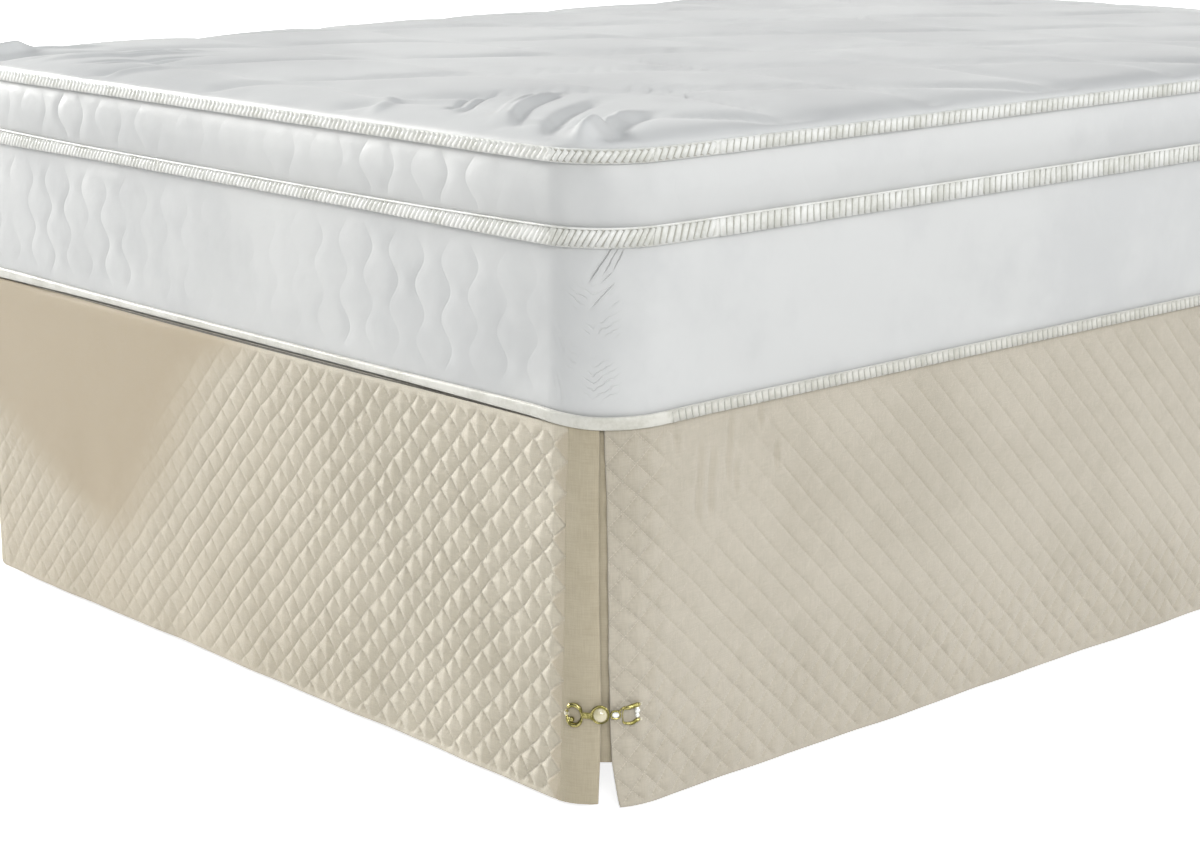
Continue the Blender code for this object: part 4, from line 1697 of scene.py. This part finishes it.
@dataclass
class RibbedTape:
    """Ribbon over a mattress seam with a row of slanting padded ribs."""

    name: str
    middle: float  # height of its middle
    width: float
    foot_share: float  # width at the foot's middle against the corner's
    rows: tuple[RibRow, ...]
    sag: float = 0.0  # drop of the lower lip at the foot corners
    piping: float = 0.0  # radius of the cord on its upper edge
    finish: str = "tape"
    seed: int = 1
    outline: RoundOutline = field(default_factory=RoundOutline)

    def line(self, inset: float, height: float | Array) -> Array:
        """Closed line on the mattress at an inset and a height."""
        flat, normal, run = self.outline.ring(inset)
        drop = self.drop(run)
        flat = flat + normal * (0.55 * drop - self.outline.eased(run, height))[:, None]
        return np.column_stack([flat, height - drop])

    def drop(self, run: Array) -> Array:
        """Sag of the tape: most at the foot corners and less down the sides."""
        away = np.abs(run) - MATTRESS_CORNER
        after = (0.72 + 0.28 * hump(away, 0.0, 0.10)) * (1 - smooth(1.2, 1.7, away))
        return self.sag * np.where(away < 0, hump(away, 0.0, 0.055), after)

    def shares(self) -> Array:
        """Share of the full width at each point of a line."""
        near = smooth(0.25, 0.66, np.abs(self.outline.distances()))
        return self.foot_share + (1 - self.foot_share) * near

    def make_ribbon(self) -> Mesh:
        """Flat ribbon with soft edges, closed behind."""
        half = self.width / 2 * self.shares()
        section = (
            # inset, share of half the width
            (0.0034, -0.94), (0.0016, -1.0), (0.0000, -0.93), (-0.0008, -0.72),
            (-0.0011, -0.30), (-0.0011, 0.30), (-0.0008, 0.72), (0.0000, 0.93),
            (0.0016, 1.0), (0.0034, 0.94),
        )
        rings = [self.line(inset, self.middle + share * half) for inset, share in section]
        mesh = mesh_of(self.name, np.concatenate(rings),
                       [ring_faces(len(half), len(rings), closed=True)])
        run = np.abs(self.outline.distances())
        ribbed = np.zeros(len(run))
        for row in self.rows:
            if row.start > 0:
                ribbed[(run >= row.start) & (run <= row.end)] = 1.0
        # The ground share marks where painted shade falls between the ribs.
        give_value(mesh, "ground", np.concatenate(
            [ribbed * (abs(share) < 0.8) for _, share in section]))
        return mesh

    def make_ribs(self, row: RibRow, nodes: NodeTree, material: Material) -> Mesh:
        """Row of ribs along its stretch.

        Args:
            row: The stretch and its ribs.
            nodes: Geometry nodes that lay the ribs.
            material: Finish of the tape.

        Returns:
            Plain mesh of the ribs.
        """
        run = self.outline.distances()
        picked = np.flatnonzero((np.abs(run) >= row.start) & (np.abs(run) <= row.end))
        stretches = np.split(picked, np.flatnonzero(np.diff(picked) > 1) + 1)
        if row.start == 0.0:
            stretches = [picked[np.argsort(run[picked])]]
        path = self.line(-0.0009, self.middle)
        shares = self.shares()
        guide = bpy.data.curves.new(self.name + "_guide", "CURVE")
        guide.dimensions = "3D"
        for numbers in stretches:
            spline = guide.splines.new("POLY")
            spline.points.add(len(numbers) - 1)
            for point, number in zip(spline.points, numbers):
                point.co = (*path[number], 1.0)
                point.radius = shares[number]
        half = 0.45 * row.pitch * math.cos(row.slant)
        length = (0.94 * self.width - 2 * half * abs(math.sin(row.slant))) / math.cos(row.slant)
        return baked(guide, nodes, {
            "Pitch": row.pitch, "Width": half, "Rise": row.rise, "Height": length,
            "Slant": row.slant, "Seed": self.seed, "Finish": material})

    def make(self, nodes: NodeTree, material: Material) -> Object:
        """Ribbon, ribs and piping as one piece.

        Args:
            nodes: Geometry nodes that lay the ribs.
            material: Finish of the tape.

        Returns:
            The finished tape.
        """
        parts = [self.make_ribbon(), *(self.make_ribs(row, nodes, material) for row in self.rows)]
        if self.piping:
            edge = self.middle + self.width / 2 * self.shares()
            parts.append(tube(self.line(-0.0010, edge - self.piping * 0.6), self.piping, 8, True))
        for part in parts:
            part.materials.clear()
        return joined(self.name, parts, material)


def baked(guide: ID, tree: NodeTree, values: dict[str, object]) -> Mesh:
    """Mesh that a Geometry Nodes tree makes from a guide.

    Args:
        guide: Curve or mesh that the tree works on.
        tree: The tree.
        values: Value of each named input.

    Returns:
        Plain mesh with the instances realised.
    """
    obj = bpy.data.objects.new(guide.name, guide)
    bpy.context.scene.collection.objects.link(obj)
    modifier = obj.modifiers.new("Nodes", "NODES")
    modifier.node_group = tree
    for socket in tree.interface.items_tree:
        if socket.item_type == "SOCKET" and socket.in_out == "INPUT" and socket.name in values:
            modifier[socket.identifier] = values[socket.name]
    bpy.context.view_layer.update()
    graph = bpy.context.evaluated_depsgraph_get()
    mesh = bpy.data.meshes.new_from_object(obj.evaluated_get(graph), depsgraph=graph)
    obj.modifiers.clear()
    bpy.data.objects.remove(obj, do_unlink=True)
    return mesh


def rib_nodes() -> NodeTree:
    """Geometry nodes that lay a row of small round bars across a curve.

    Returns:
        Tree with inputs Pitch, Width, Rise, Height, Slant, Seed and Finish. Height is the
        bars' length where the curve's radius is one, Width and Rise are half their width
        and thickness.
    """
    tree = bpy.data.node_groups.new("tape ribs", "GeometryNodeTree")
    for label, kind in (("Geometry", "Geometry"), ("Pitch", "Float"), ("Width", "Float"),
                        ("Rise", "Float"), ("Height", "Float"), ("Slant", "Float"),
                        ("Seed", "Int"), ("Finish", "Material")):
        tree.interface.new_socket(name=label, in_out="INPUT", socket_type=f"NodeSocket{kind}")
    tree.interface.new_socket(name="Geometry", in_out="OUTPUT", socket_type="NodeSocketGeometry")
    row = Wiring(tree)
    given = row.node("NodeGroupInput").outputs
    spaced = row.add("GeometryNodeResampleCurve",
                     {"Curve": given["Geometry"], "Length": given["Pitch"]}, mode="LENGTH")
    bar = row.add("GeometryNodeMeshCylinder", {"Vertices": 8, "Radius": 1.0, "Depth": 1.0},
                  fill_type="TRIANGLE_FAN")
    size = row.add("ShaderNodeCombineXYZ", {0: given["Width"], 1: given["Rise"], 2: given["Height"]})
    sized = row.add("GeometryNodeTransform", {"Geometry": bar, "Scale": size})
    ahead = row.add("GeometryNodeInputTangent")
    facing = row.add("FunctionNodeAlignRotationToVector", {"Vector": ahead}, axis="X", pivot_axis="Z")
    jitter = row.add("FunctionNodeRandomValue", {2: -0.10, 3: 0.10, "Seed": given["Seed"]},
                     1, data_type="FLOAT")
    tilt = row.add("ShaderNodeCombineXYZ", {1: jitter + given["Slant"]})
    turned = row.add("FunctionNodeRotateRotation", {0: facing, 1: tilt}, rotation_space="LOCAL")
    reach = row.add("ShaderNodeCombineXYZ", {0: 1.0, 1: 1.0, 2: row.add("GeometryNodeInputRadius")})
    laid = row.add("GeometryNodeInstanceOnPoints", {
        "Points": spaced, "Instance": sized, "Rotation": turned, "Scale": reach})
    real = row.add("GeometryNodeRealizeInstances", {0: laid})
    smoothed = row.add("GeometryNodeSetShadeSmooth", {0: real})
    dressed = row.add("GeometryNodeSetMaterial", {"Geometry": smoothed, "Material": given["Finish"]})
    row.node("NodeGroupOutput", {0: dressed})
    return tree


# ---- Bed base ----

@dataclass
class BedBase:
    """Cloth covered box base with piped edges, on six turned legs."""

    outline: RoundOutline = field(default_factory=lambda: RoundOutline(
        0.681, 0.931, 0.120, 0.020, 0.02, 0.03, 0.01))
    bottom: float = 0.1303
    top: float = 0.4380
    edge: float = 0.005
    leg_side: float = 0.560
    leg_end: float = 0.740
    leg_section: tuple[Place, ...] = (
        # height, radius
        (0.0000, 0.0205), (0.0015, 0.0220), (0.0400, 0.02435), (0.0900, 0.02720),
        (0.1080, 0.02805), (0.1100, 0.02730), (0.1125, 0.02730), (0.1145, 0.02880),
        (0.1285, 0.02980), (0.1300, 0.02900),
    )

    def rings(self) -> list[Place]:
        """Inset and height of the cover's rings, from the underside to the top."""
        turns = [math.radians(angle) for angle in (0, 30, 60, 90)]
        low = [(self.edge * (1 - math.sin(t)), self.bottom + self.edge * (1 - math.cos(t)))
               for t in turns]
        high = [(inset, self.bottom + self.top - height) for inset, height in reversed(low)]
        wall = [(0.0006 * math.sin(math.pi * share) ** 2,
                 self.bottom + self.edge + share * (self.top - self.bottom - 2 * self.edge))
                for share in np.linspace(0.1, 0.9, 9)]
        return [(0.30, self.bottom), (0.02, self.bottom), *low, *wall, *high,
                (0.02, self.top), (0.30, self.top)]

    def make_cover(self, material: Material) -> Object:
        """Closed box with a cover drawn over it."""
        rings = self.rings()
        steps = [math.dist(before, after) for before, after in zip(rings, rings[1:])]
        layers, flats = [], []
        for (inset, height), down in zip(rings, np.cumsum([0.0, *steps])):
            flat, _, run = self.outline.ring(inset)
            layers.append(np.column_stack([flat, np.full(len(run), height)]))
            flats.append(np.column_stack([run, np.full(len(run), down)]))
        mesh = closed_loft("base_cover", layers)
        give_uv(mesh, "cloth", np.concatenate(flats))
        return new_object("base_cover", mesh, material)

    def make_piping(self, material: Material) -> Object:
        """Cord round the base's lower edge and one up each head corner."""
        flat, _, _ = self.outline.ring(0.0006)
        cord = np.column_stack([flat, np.full(len(flat), self.bottom + 0.006)])
        parts = [tube(cord, 0.0016, 8, True)]
        bend = self.outline.head_radius * (1 - math.sqrt(0.5))
        x, y = self.outline.half_width - bend, self.outline.half_length - bend
        for side in (-1, 1):
            line = np.linspace((side * x, y, self.bottom + 0.008), (side * x, y, self.top - 0.004), 24)
            parts.append(tube(line, 0.0013, 8))
        return joined("base_piping", parts, material)

    def make_legs(self, material: Material) -> list[Object]:
        """Turned tapering legs with a soft foot and a shallow ring near the top."""
        sides = 40
        turn = 2 * math.pi * np.arange(sides) / sides
        count = len(self.leg_section)
        heights = (self.leg_section[0][0], self.leg_section[-1][0])
        legs = []
        spots = [(side * self.leg_side, row * self.leg_end) for row in (-1, 0, 1) for side in (-1, 1)]
        for number, (x, y) in enumerate(spots, start=1):
            rings = [np.column_stack([x + radius * np.cos(turn), y + radius * np.sin(turn),
                                      np.full(sides, height)])
                     for height, radius in self.leg_section]
            points = np.concatenate([*rings, [(x, y, height) for height in heights]])
            mesh = mesh_of(f"leg_{number}", points, [ring_faces(sides, count), *end_fans(sides, count)])
            mesh.set_sharp_from_angle(angle=math.radians(50))
            legs.append(new_object(f"leg_{number}", mesh, material))
        return legs


@dataclass
class Deck:
    """Thin cloth between base and mattress that the skirt hangs from."""

    half_width: float = 0.6851
    foot: float = 0.9351
    head: float = 0.930
    radius: float = 0.0851
    head_radius: float = 0.004
    bottom: float = 0.4383
    thickness: float = 0.0015

    def make(self, material: Material) -> Object:
        """Flat closed sheet with soft edges."""
        outline = RoundOutline(self.half_width, (self.foot + self.head) / 2, self.radius,
                               self.head_radius, 0.02, 0.03, 0.02)
        shift = (self.head - self.foot) / 2
        half = self.thickness / 2
        turns = [math.radians(angle) for angle in (0, 45, 90, 135, 180)]
        section = [(0.30, 0.0), (0.05, 0.0),
                   *((half * (1 - math.sin(t)), half * (1 - math.cos(t))) for t in turns),
                   (0.05, self.thickness), (0.30, self.thickness)]
        layers = []
        for inset, rise in section:
            flat, _, _ = outline.ring(inset)
            layers.append(np.column_stack([flat[:, 0], flat[:, 1] + shift,
                                           np.full(len(flat), self.bottom + rise)]))
        mesh = closed_loft("deck_cloth", layers)
        give_uv(mesh, "cloth", np.concatenate(layers)[:, :2])
        return new_object("deck_cloth", mesh, material)


# ---- Clasp ----

ROUND = np.linspace(0.0, 2 * math.pi, 64, endpoint=False)    # turns of a closed ring
CLASP_SLOTS = {"metal": "clasp_metal", "pearl": "pearl", "stone": "clear_stone",
               "thread": "plain_cloth"}


def rod(start: Sequence[float], end: Sequence[float], radius: float, sides: int = 10,
        steps: int = 10) -> Mesh:
    """Straight round bar between two points."""
    return tube(np.linspace(start, end, steps), radius, sides)


def oval(half_width: float, half_height: float, power: float = 2.0, turn: Array = ROUND) -> Array:
    """Points of an oval or squarish line in the plane of X and Y."""
    x, y = (np.sign(part) * np.abs(part) ** (2 / power) for part in (np.cos(turn), np.sin(turn)))
    return np.column_stack([half_width * x, half_height * y, np.zeros(len(turn))])


def dome(half_width: float, half_height: float, rise: float, back: float,
         segments: int = 40, rings: int = 20) -> Mesh:
    """Domed cabochon with a shallow back."""
    bm = bmesh.new()
    bmesh.ops.create_uvsphere(bm, u_segments=segments, v_segments=rings, radius=1.0)
    for vert in bm.verts:
        depth = rise if vert.co.z > 0 else back
        vert.co = (vert.co.x * half_width, vert.co.y * half_height, vert.co.z * depth)
    mesh = mesh_from("dome", bm)
    mesh.shade_smooth()
    return mesh


def ball(spot: Sequence[float], radius: float) -> Mesh:
    """Small smooth ball."""
    mesh = dome(radius, radius, radius, radius, 20, 12)
    mesh.transform(Matrix.Translation(spot))
    return mesh


def cut_stone(half_width: float, half_height: float, rise: float, back: float) -> Mesh:
    """Brilliant with a flat table, a faceted crown and a shallow back.

    Args:
        half_width: Half its size along X.
        half_height: Half its size along Y.
        rise: Height of its table.
        back: Depth of its back.

    Returns:
        Closed mesh with flat facets.
    """
    layers = (
        # share of the half size, height
        (0.55, rise), (0.82, rise * 0.72), (1.0, rise * 0.25), (0.96, 0.0), (0.45, -back),
    )
    sides = 12
    bm = bmesh.new()
    loops = []
    for layer, (share, height) in enumerate(layers):
        turns = 2 * math.pi * (np.arange(sides) + 0.5 * (layer % 2)) / sides
        loops.append([bm.verts.new((half_width * share * math.cos(turn),
                                    half_height * share * math.sin(turn), height))
                      for turn in turns])
    for layer, (upper, lower) in enumerate(zip(loops, loops[1:])):
        for n in range(sides):
            third = lower[(n + layer % 2) % sides]
            bm.faces.new((upper[n], upper[(n + 1) % sides], third))
            bm.faces.new((upper[n], third, lower[(n + layer % 2 - 1) % sides]))
    bm.faces.new(loops[0])
    bm.faces.new(loops[-1])
    bmesh.ops.recalc_face_normals(bm, faces=bm.faces[:])
    return mesh_from("stone", bm)


@dataclass
class Clasp:
    """Row of linked rings across a split, with a pearl and clear stones.

    Each part lies in a frame of its own: X along the skirt, Y up and Z outward.
    """

    form: SkirtForm
    finishes: Finishes
    hand: Hand
    end_ring: float = -0.0322  # places of the parts' middles from the corner's middle
    bar: float = -0.0172
    centre: float = -0.0036
    link: float = 0.0123
    square_ring: float = 0.0296
    drop: float = -0.0025  # how much lower the end ring hangs

    def at(self, offset: float, outward: float) -> Matrix:
        """Frame of a part at an offset from the corner's middle."""
        return self.form.frame(self.form.corner + offset, outward,
                               self.form.clasp_height, self.hand.value)

    def add(self, name: str, finish: str, where: Matrix, *parts: Mesh, loose: bool = False) -> None:
        """Join a part's meshes, bring them to their place and dress them.

        Args:
            name: Name of the part.
            finish: Short name of its finish.
            where: Its frame.
            *parts: Its meshes.
            loose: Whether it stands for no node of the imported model.
        """
        for part in parts:
            part.transform(where)
        piece = joined(f"{name}_{self.hand.word}", parts, self.finishes[finish])
        place(piece, CLASP_SLOTS[finish], *([] if loose else [f"clasp_{name}_{self.hand.word}"]))

    def build(self) -> None:
        """Build and dress every part of the clasp."""
        self.build_end_ring()
        self.build_bar()
        self.build_centre()
        self.build_link()
        self.build_square_ring()
        self.build_threads()

    def build_end_ring(self) -> None:
        """Open oval ring, stout at its top and foot, with a bead in its lower left."""
        wire = 0.0027
        turn = np.linspace(math.radians(-176), math.radians(140), 60)
        path = oval(0.0115 - wire, 0.0142 - wire, 2.3, turn)
        size = wire * (0.42 + 0.58 * np.abs(np.sin(turn)) ** 0.8)
        path += np.column_stack([0 * size, 0 * size + self.drop, size - 0.0010])
        knob = (-0.0084, 0.0038 + self.drop)
        self.add("end_ring", "metal", self.at(self.end_ring, 0.0005),
                 tube(path, size, 14), ball(path[0], 0.0012), ball((*knob, 0.0010), 0.0015),
                 ball((-0.0026, -0.0050 + self.drop, 0.0020), 0.0031),
                 rod(path[0], (*knob, 0.0008), 0.0008, 8, 8))

    def build_bar(self) -> None:
        """Flat link with a rod on its upper edge and a collar at its right."""
        bm = bmesh.new()
        bmesh.ops.create_cube(bm, size=1.0, matrix=Matrix.Diagonal((0.0110, 0.0058, 0.0012, 1)))
        bmesh.ops.bevel(bm, geom=bm.edges[:], offset=0.0004, segments=2, affect="EDGES")
        collars = [rod((x, -reach, 0.0008), (x, reach, 0.0008), radius)
                   for x, reach, radius in ((-0.0052, 0.0030, 0.0008), (0.0052, 0.0042, 0.0012))]
        self.add("bar", "metal",
                 self.at(self.bar, 0.0020) @ Matrix.Translation((0.0, -0.0015, 0.0)),
                 rod((-0.0062, 0.0031, 0.0012), (0.0050, 0.0031, 0.0012), 0.0009, steps=12),
                 rod((-0.0058, -0.0028, 0.0006), (0.0050, -0.0028, 0.0006), 0.0006, steps=12),
                 mesh_from("plate", bm), *collars)

    def build_centre(self) -> None:
        """Centre ring with a cup, and the pearl in it."""
        wire = 0.0014
        size = wire * (0.72 + 0.28 * np.cos(ROUND - math.radians(115)))
        cup = oval(0.0081, 0.0084) + np.array([0.0, 0.0, 0.0002])
        where = self.at(self.centre, 0.0019)
        self.add("centre_ring", "metal", where,
                 tube(oval(0.0109 - wire, 0.0113 - wire), size, 14, True),
                 tube(cup, 0.0005, 8, True))
        self.add("pearl", "pearl", where, dome(0.0078, 0.0081, 0.0058, 0.0012))

    def build_link(self) -> None:
        """Small oval link set with a clear stone."""
        wire = 0.0011
        tabs = [rod((x - 0.0007, 0.0, -0.0001), (x + 0.0007, 0.0, -0.0001), 0.0009, 8, 6)
                for x in (-0.0048, 0.0048)]
        where = self.at(self.link, 0.0016)
        self.add("link", "metal", where,
                 tube(oval(0.0061 - wire, 0.0054 - wire, 2.8), wire, 12, True),
                 dome(0.0052, 0.0044, 0.0003, 0.0006, 28, 10), *tabs)
        self.add("stone", "stone", where, cut_stone(0.0042, 0.0034, 0.0030, 0.0004))

    def build_square_ring(self) -> None:
        """Squarish ring with two stout arms, open at its far side, where beads hang."""
        corners = (
            # x, y, radius of the wire
            (0.0076, 0.0114, 0.0014), (0.0066, 0.0111, 0.0026), (0.0020, 0.0100, 0.0027),
            (-0.0030, 0.0088, 0.0026), (-0.0070, 0.0077, 0.0020), (-0.0096, 0.0056, 0.0008),
            (-0.0106, 0.0000, 0.0006), (-0.0104, -0.0050, 0.0007), (-0.0096, -0.0086, 0.0013),
            (-0.0048, -0.0100, 0.0018), (0.0000, -0.0098, 0.0021), (0.0040, -0.0074, 0.0022),
            (0.0070, -0.0062, 0.0022), (0.0078, -0.0060, 0.0013),
        )
        x, y, size = catmull(corners, 5).T
        tie = np.array([(-0.0150, 0.0046, 0.0006), (-0.0118, 0.0076, 0.0014),
                        (-0.0080, 0.0100, 0.0018)])
        where = self.at(self.square_ring, 0.0023)
        self.add("square_ring", "metal", where,
                 tube(np.column_stack([x, y, size - 0.0008]), size, 14),
                 tube(tie, 0.0011, 10))
        beads = []
        for y, wide, tall in ((0.0046, 0.0030, 0.0034), (-0.0010, 0.0024, 0.0026)):
            beads.append(cut_stone(wide, wide, tall, tall))
            beads[-1].transform(Matrix.Translation((0.0058, y, 0.0010))
                                @ Matrix.Rotation(math.pi / 2, 4, "X"))
        self.add("beads", "stone", where, *beads, loose=True)

    def build_threads(self) -> None:
        """Sewn loops that hold the outer rings on the cloth."""
        rows = (
            # name, offset, outward, x, heights
            ("thread_inner", self.end_ring, 0.0005, -0.0098, (self.drop,)),
            ("thread_outer", self.square_ring, 0.0023, 0.0092, (-0.0066, 0.0110)),
        )
        arc = np.linspace(0.0, math.pi, 12)
        for name, offset, outward, x, heights in rows:
            parts = []
            for y in heights:
                for number in range(4):
                    lift = 0.0030 + 0.0004 * math.sin(2.1 * number)
                    parts.append(tube(np.column_stack([
                        x + math.copysign(0.0026, x) * np.cos(arc),
                        y + 0.0008 * (number - 1.5) + 0.0003 * np.sin(arc),
                        lift * np.sin(arc) - 0.0014]), 0.00028, 6))
            self.add(name, "thread", self.at(offset, outward), *parts, loose=True)


# ---- The whole skirt ----

@dataclass
class BedSkirt:
    """Quilted panels, plain bands, corner underlays and clasps of the skirt."""

    finishes: Finishes
    form: SkirtForm = field(default_factory=SkirtForm)

    def build(self) -> None:
        """Build and dress every cloth of the skirt."""
        drop = self.form.top - self.form.hem
        lattice = QuiltLattice(steps=12, falling_start=4, rising_start=4)
        foot = FootPanel("quilted_foot_panel", 424, round(drop / lattice.step), form=self.form,
                         lattice=lattice)
        self.hang(foot, "quilted", "quilted_cloth", "foot_panel", (1.256, 0.443))
        for hand in Hand:
            self.build_side(hand, drop)

    def hang(self, sheet: Sheet, finish: str, slot: str, node: str, flat: Place,
             **declared: float) -> None:
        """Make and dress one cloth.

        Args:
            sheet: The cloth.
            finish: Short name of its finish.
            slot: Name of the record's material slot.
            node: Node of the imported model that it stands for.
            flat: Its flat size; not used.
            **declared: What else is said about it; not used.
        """
        piece = place(sheet.make(self.finishes[finish]), slot, node)

    def build_side(self, hand: Hand, drop: float) -> None:
        """Side panel, band, underlay and clasp of one side."""
        lattice = QuiltLattice(steps=10)
        length = self.form.side_end - self.form.corner - SidePanel.start
        common = {"form": self.form, "side": hand.value}
        panel = SidePanel(f"quilted_side_panel_{hand.word}", round(length / lattice.step),
                          round(drop / lattice.step), lattice=lattice, **common)
        self.hang(panel, "quilted side", "quilted_cloth", f"side_panel_{hand.word}", (1.860, 0.443))
        band = PlainBand(f"plain_band_{hand.word}", 22, 146, **common)
        self.hang(band, "plain", "plain_cloth", f"foot_band_{hand.word}", (0.052, 0.443), area=0.0190)
        under = Underlay(f"underlay_{hand.word}", 30, 100, **common)
        self.hang(under, "plain", "plain_cloth", f"corner_underlay_{hand.word}", (0.094, 0.398))
        Clasp(self.form, self.finishes, hand).build()


@dataclass
class Bed:
    """Plain bed that the skirt hangs on: mattress, deck, base and legs."""

    finishes: Finishes

    def build(self) -> None:
        deck = place(Deck().make(self.finishes["deck"]), "deck_cloth", "deck")
        base = BedBase()
        place(base.make_cover(self.finishes["base"]), "base_cover", "bed_base")
        place(base.make_piping(self.finishes["base"]), "base_cover")
        for number, leg in enumerate(base.make_legs(self.finishes["wood"]), start=1):
            place(leg, "leg_wood", f"bed_leg_{number}")
        body = place(Mattress().make_body(self.finishes["ticking"]), "mattress_ticking", "mattress")
        tapes = (
            RibbedTape("tape_bottom", 0.4488, 0.0145, 0.66, sag=0.0048, finish="low tape",
                       rows=(RibRow(0.755, 9.0, 0.0098, 0.0008, -0.15),)),
            RibbedTape("tape_middle", 0.6420, 0.0220, 0.74, piping=0.0012, seed=2,
                       rows=(RibRow(0.0, 0.606, 0.0080, 0.0011, 0.72),
                             RibRow(0.608, 0.730, 0.0072, 0.0011, 0.52),
                             RibRow(0.735, 0.820, 0.0088, 0.0011, 0.28),
                             RibRow(0.829, 9.0, 0.0104, 0.0011, 0.0))),
            RibbedTape("tape_top", 0.7280, 0.0160, 0.86, seed=3,
                       rows=(RibRow(0.0, 0.606, 0.0086, 0.0011, 0.80),
                             RibRow(0.608, 0.730, 0.0078, 0.0011, 0.62),
                             RibRow(0.735, 0.820, 0.0088, 0.0011, 0.40),
                             RibRow(0.829, 9.0, 0.0100, 0.0011, 0.12))),
        )
        ribs = rib_nodes()
        for tape in tapes:
            place(tape.make(ribs, self.finishes[tape.finish]), "mattress_tape", f"mattress_{tape.name}")


# ---- Studio ----

def heading(azimuth: float, elevation: float) -> Vector:
    """Direction from degrees round from +X towards +Y and degrees above the horizon."""
    turn, rise = math.radians(azimuth), math.radians(elevation)
    return Vector((math.cos(turn) * math.cos(rise), math.sin(turn) * math.cos(rise), math.sin(rise)))


@dataclass(frozen=True)
class Sun:
    """Broad even light from a direction."""

    name: str
    azimuth: float  # where it comes from, in degrees from +X towards +Y
    elevation: float  # degrees above the horizon
    strength: float  # brightness that it gives a white face square to it
    spread: float  # apparent size in degrees
    colour: Colour = (1.0, 0.997, 0.985)

    def add(self) -> None:
        """Hang the light in the scene."""
        data = bpy.data.lights.new(self.name, "SUN")
        data.energy = self.strength * math.pi
        data.angle = math.radians(self.spread)
        data.color = self.colour
        light = bpy.data.objects.new(self.name, data)
        come = heading(self.azimuth, self.elevation)
        light.rotation_euler = (-come).to_track_quat("-Z", "Y").to_euler()
        light.location = come * 5
        bpy.context.scene.collection.objects.link(light)


@dataclass
class Studio:
    """Camera, pale floor and soft light."""

    spot: tuple[float, float, float] = (2.6355, -2.6771, 1.0847)
    yaw: float = 48.248  # degrees from +Y towards -X
    pitch: float = 13.618  # degrees below the horizon
    roll: float = -0.339
    lens: float = 76.80
    sensor: float = 36.0
    world: Colour = (0.97, 0.985, 1.0)
    world_strength: float = 0.17
    floor_lift: float = 0.85  # softens the shadow on the floor
    suns: tuple[Sun, ...] = (
        Sun("window", 190.0, 14.0, 1.56, 16.0, (1.0, 0.99, 0.96)),
        Sun("far window", 52.0, 22.0, 0.45, 50.0, (0.99, 0.995, 1.0)),
        Sun("front", -36.0, 30.0, 0.44, 22.0),
        Sun("side", -14.0, 24.0, 0.20, 12.0),
        Sun("overhead", -60.0, 78.0, 0.38, 60.0, (0.90, 0.95, 1.0)),
    )

    def build(self) -> None:
        """Camera, world, lights and floor."""
        scene = bpy.context.scene
        scene.view_settings.view_transform = "Standard"
        self.add_camera()
        scene.world = bpy.data.worlds.new("studio")
        scene.world.use_nodes = True
        background = scene.world.node_tree.nodes["Background"].inputs
        background["Color"].default_value = (*self.world, 1.0)
        background["Strength"].default_value = self.world_strength
        for sun in self.suns:
            sun.add()
        self.add_floor()

    def add_camera(self) -> None:
        """Camera at the wanted viewing angle."""
        ahead = heading(90 + self.yaw, -self.pitch)
        right = ahead.cross(Vector((0.0, 0.0, 1.0))).normalized()
        turned = Matrix((right, right.cross(ahead), -ahead)).transposed().to_4x4()
        data = bpy.data.cameras.new("camera")
        data.lens = self.lens
        data.sensor_width = self.sensor
        data.clip_start = 0.05
        data.clip_end = 100.0
        camera = bpy.data.objects.new("camera", data)
        camera.matrix_world = (Matrix.Translation(self.spot) @ turned
                               @ Matrix.Rotation(math.radians(self.roll), 4, "Z"))
        bpy.context.scene.collection.objects.link(camera)
        bpy.context.scene.camera = camera

    def add_floor(self) -> None:
        """Large pale floor."""
        made = Surface("pale floor")
        tone = made.noise(made.own(), 0.8, 2.0)
        seen = made.add("ShaderNodeLightPath", output="Is Camera Ray")
        material = made.finish({
            "Base Color": made.blend(tone.rise(0.3, 0.7), (0.89, 0.89, 0.885),
                                     (0.92, 0.92, 0.915)),
            "Roughness": made.rough(tone, 0.75, 0.85),
            "Emission Color": (1.0, 1.0, 1.0, 1.0),
            "Emission Strength": seen * self.floor_lift})
        bm = bmesh.new()
        bmesh.ops.create_grid(bm, x_segments=2, y_segments=2, size=30.0)
        new_object("floor", mesh_from("floor", bm), material)


def main() -> None:
    """Build the studio, the bed and its skirt, in that order."""
    logging.basicConfig(level=logging.INFO, format="%(name)s: %(message)s")
    Studio().build()
    finishes = Finishes()
    Bed(finishes).build()
    BedSkirt(finishes).build()


if __name__ == "__main__":
    main()
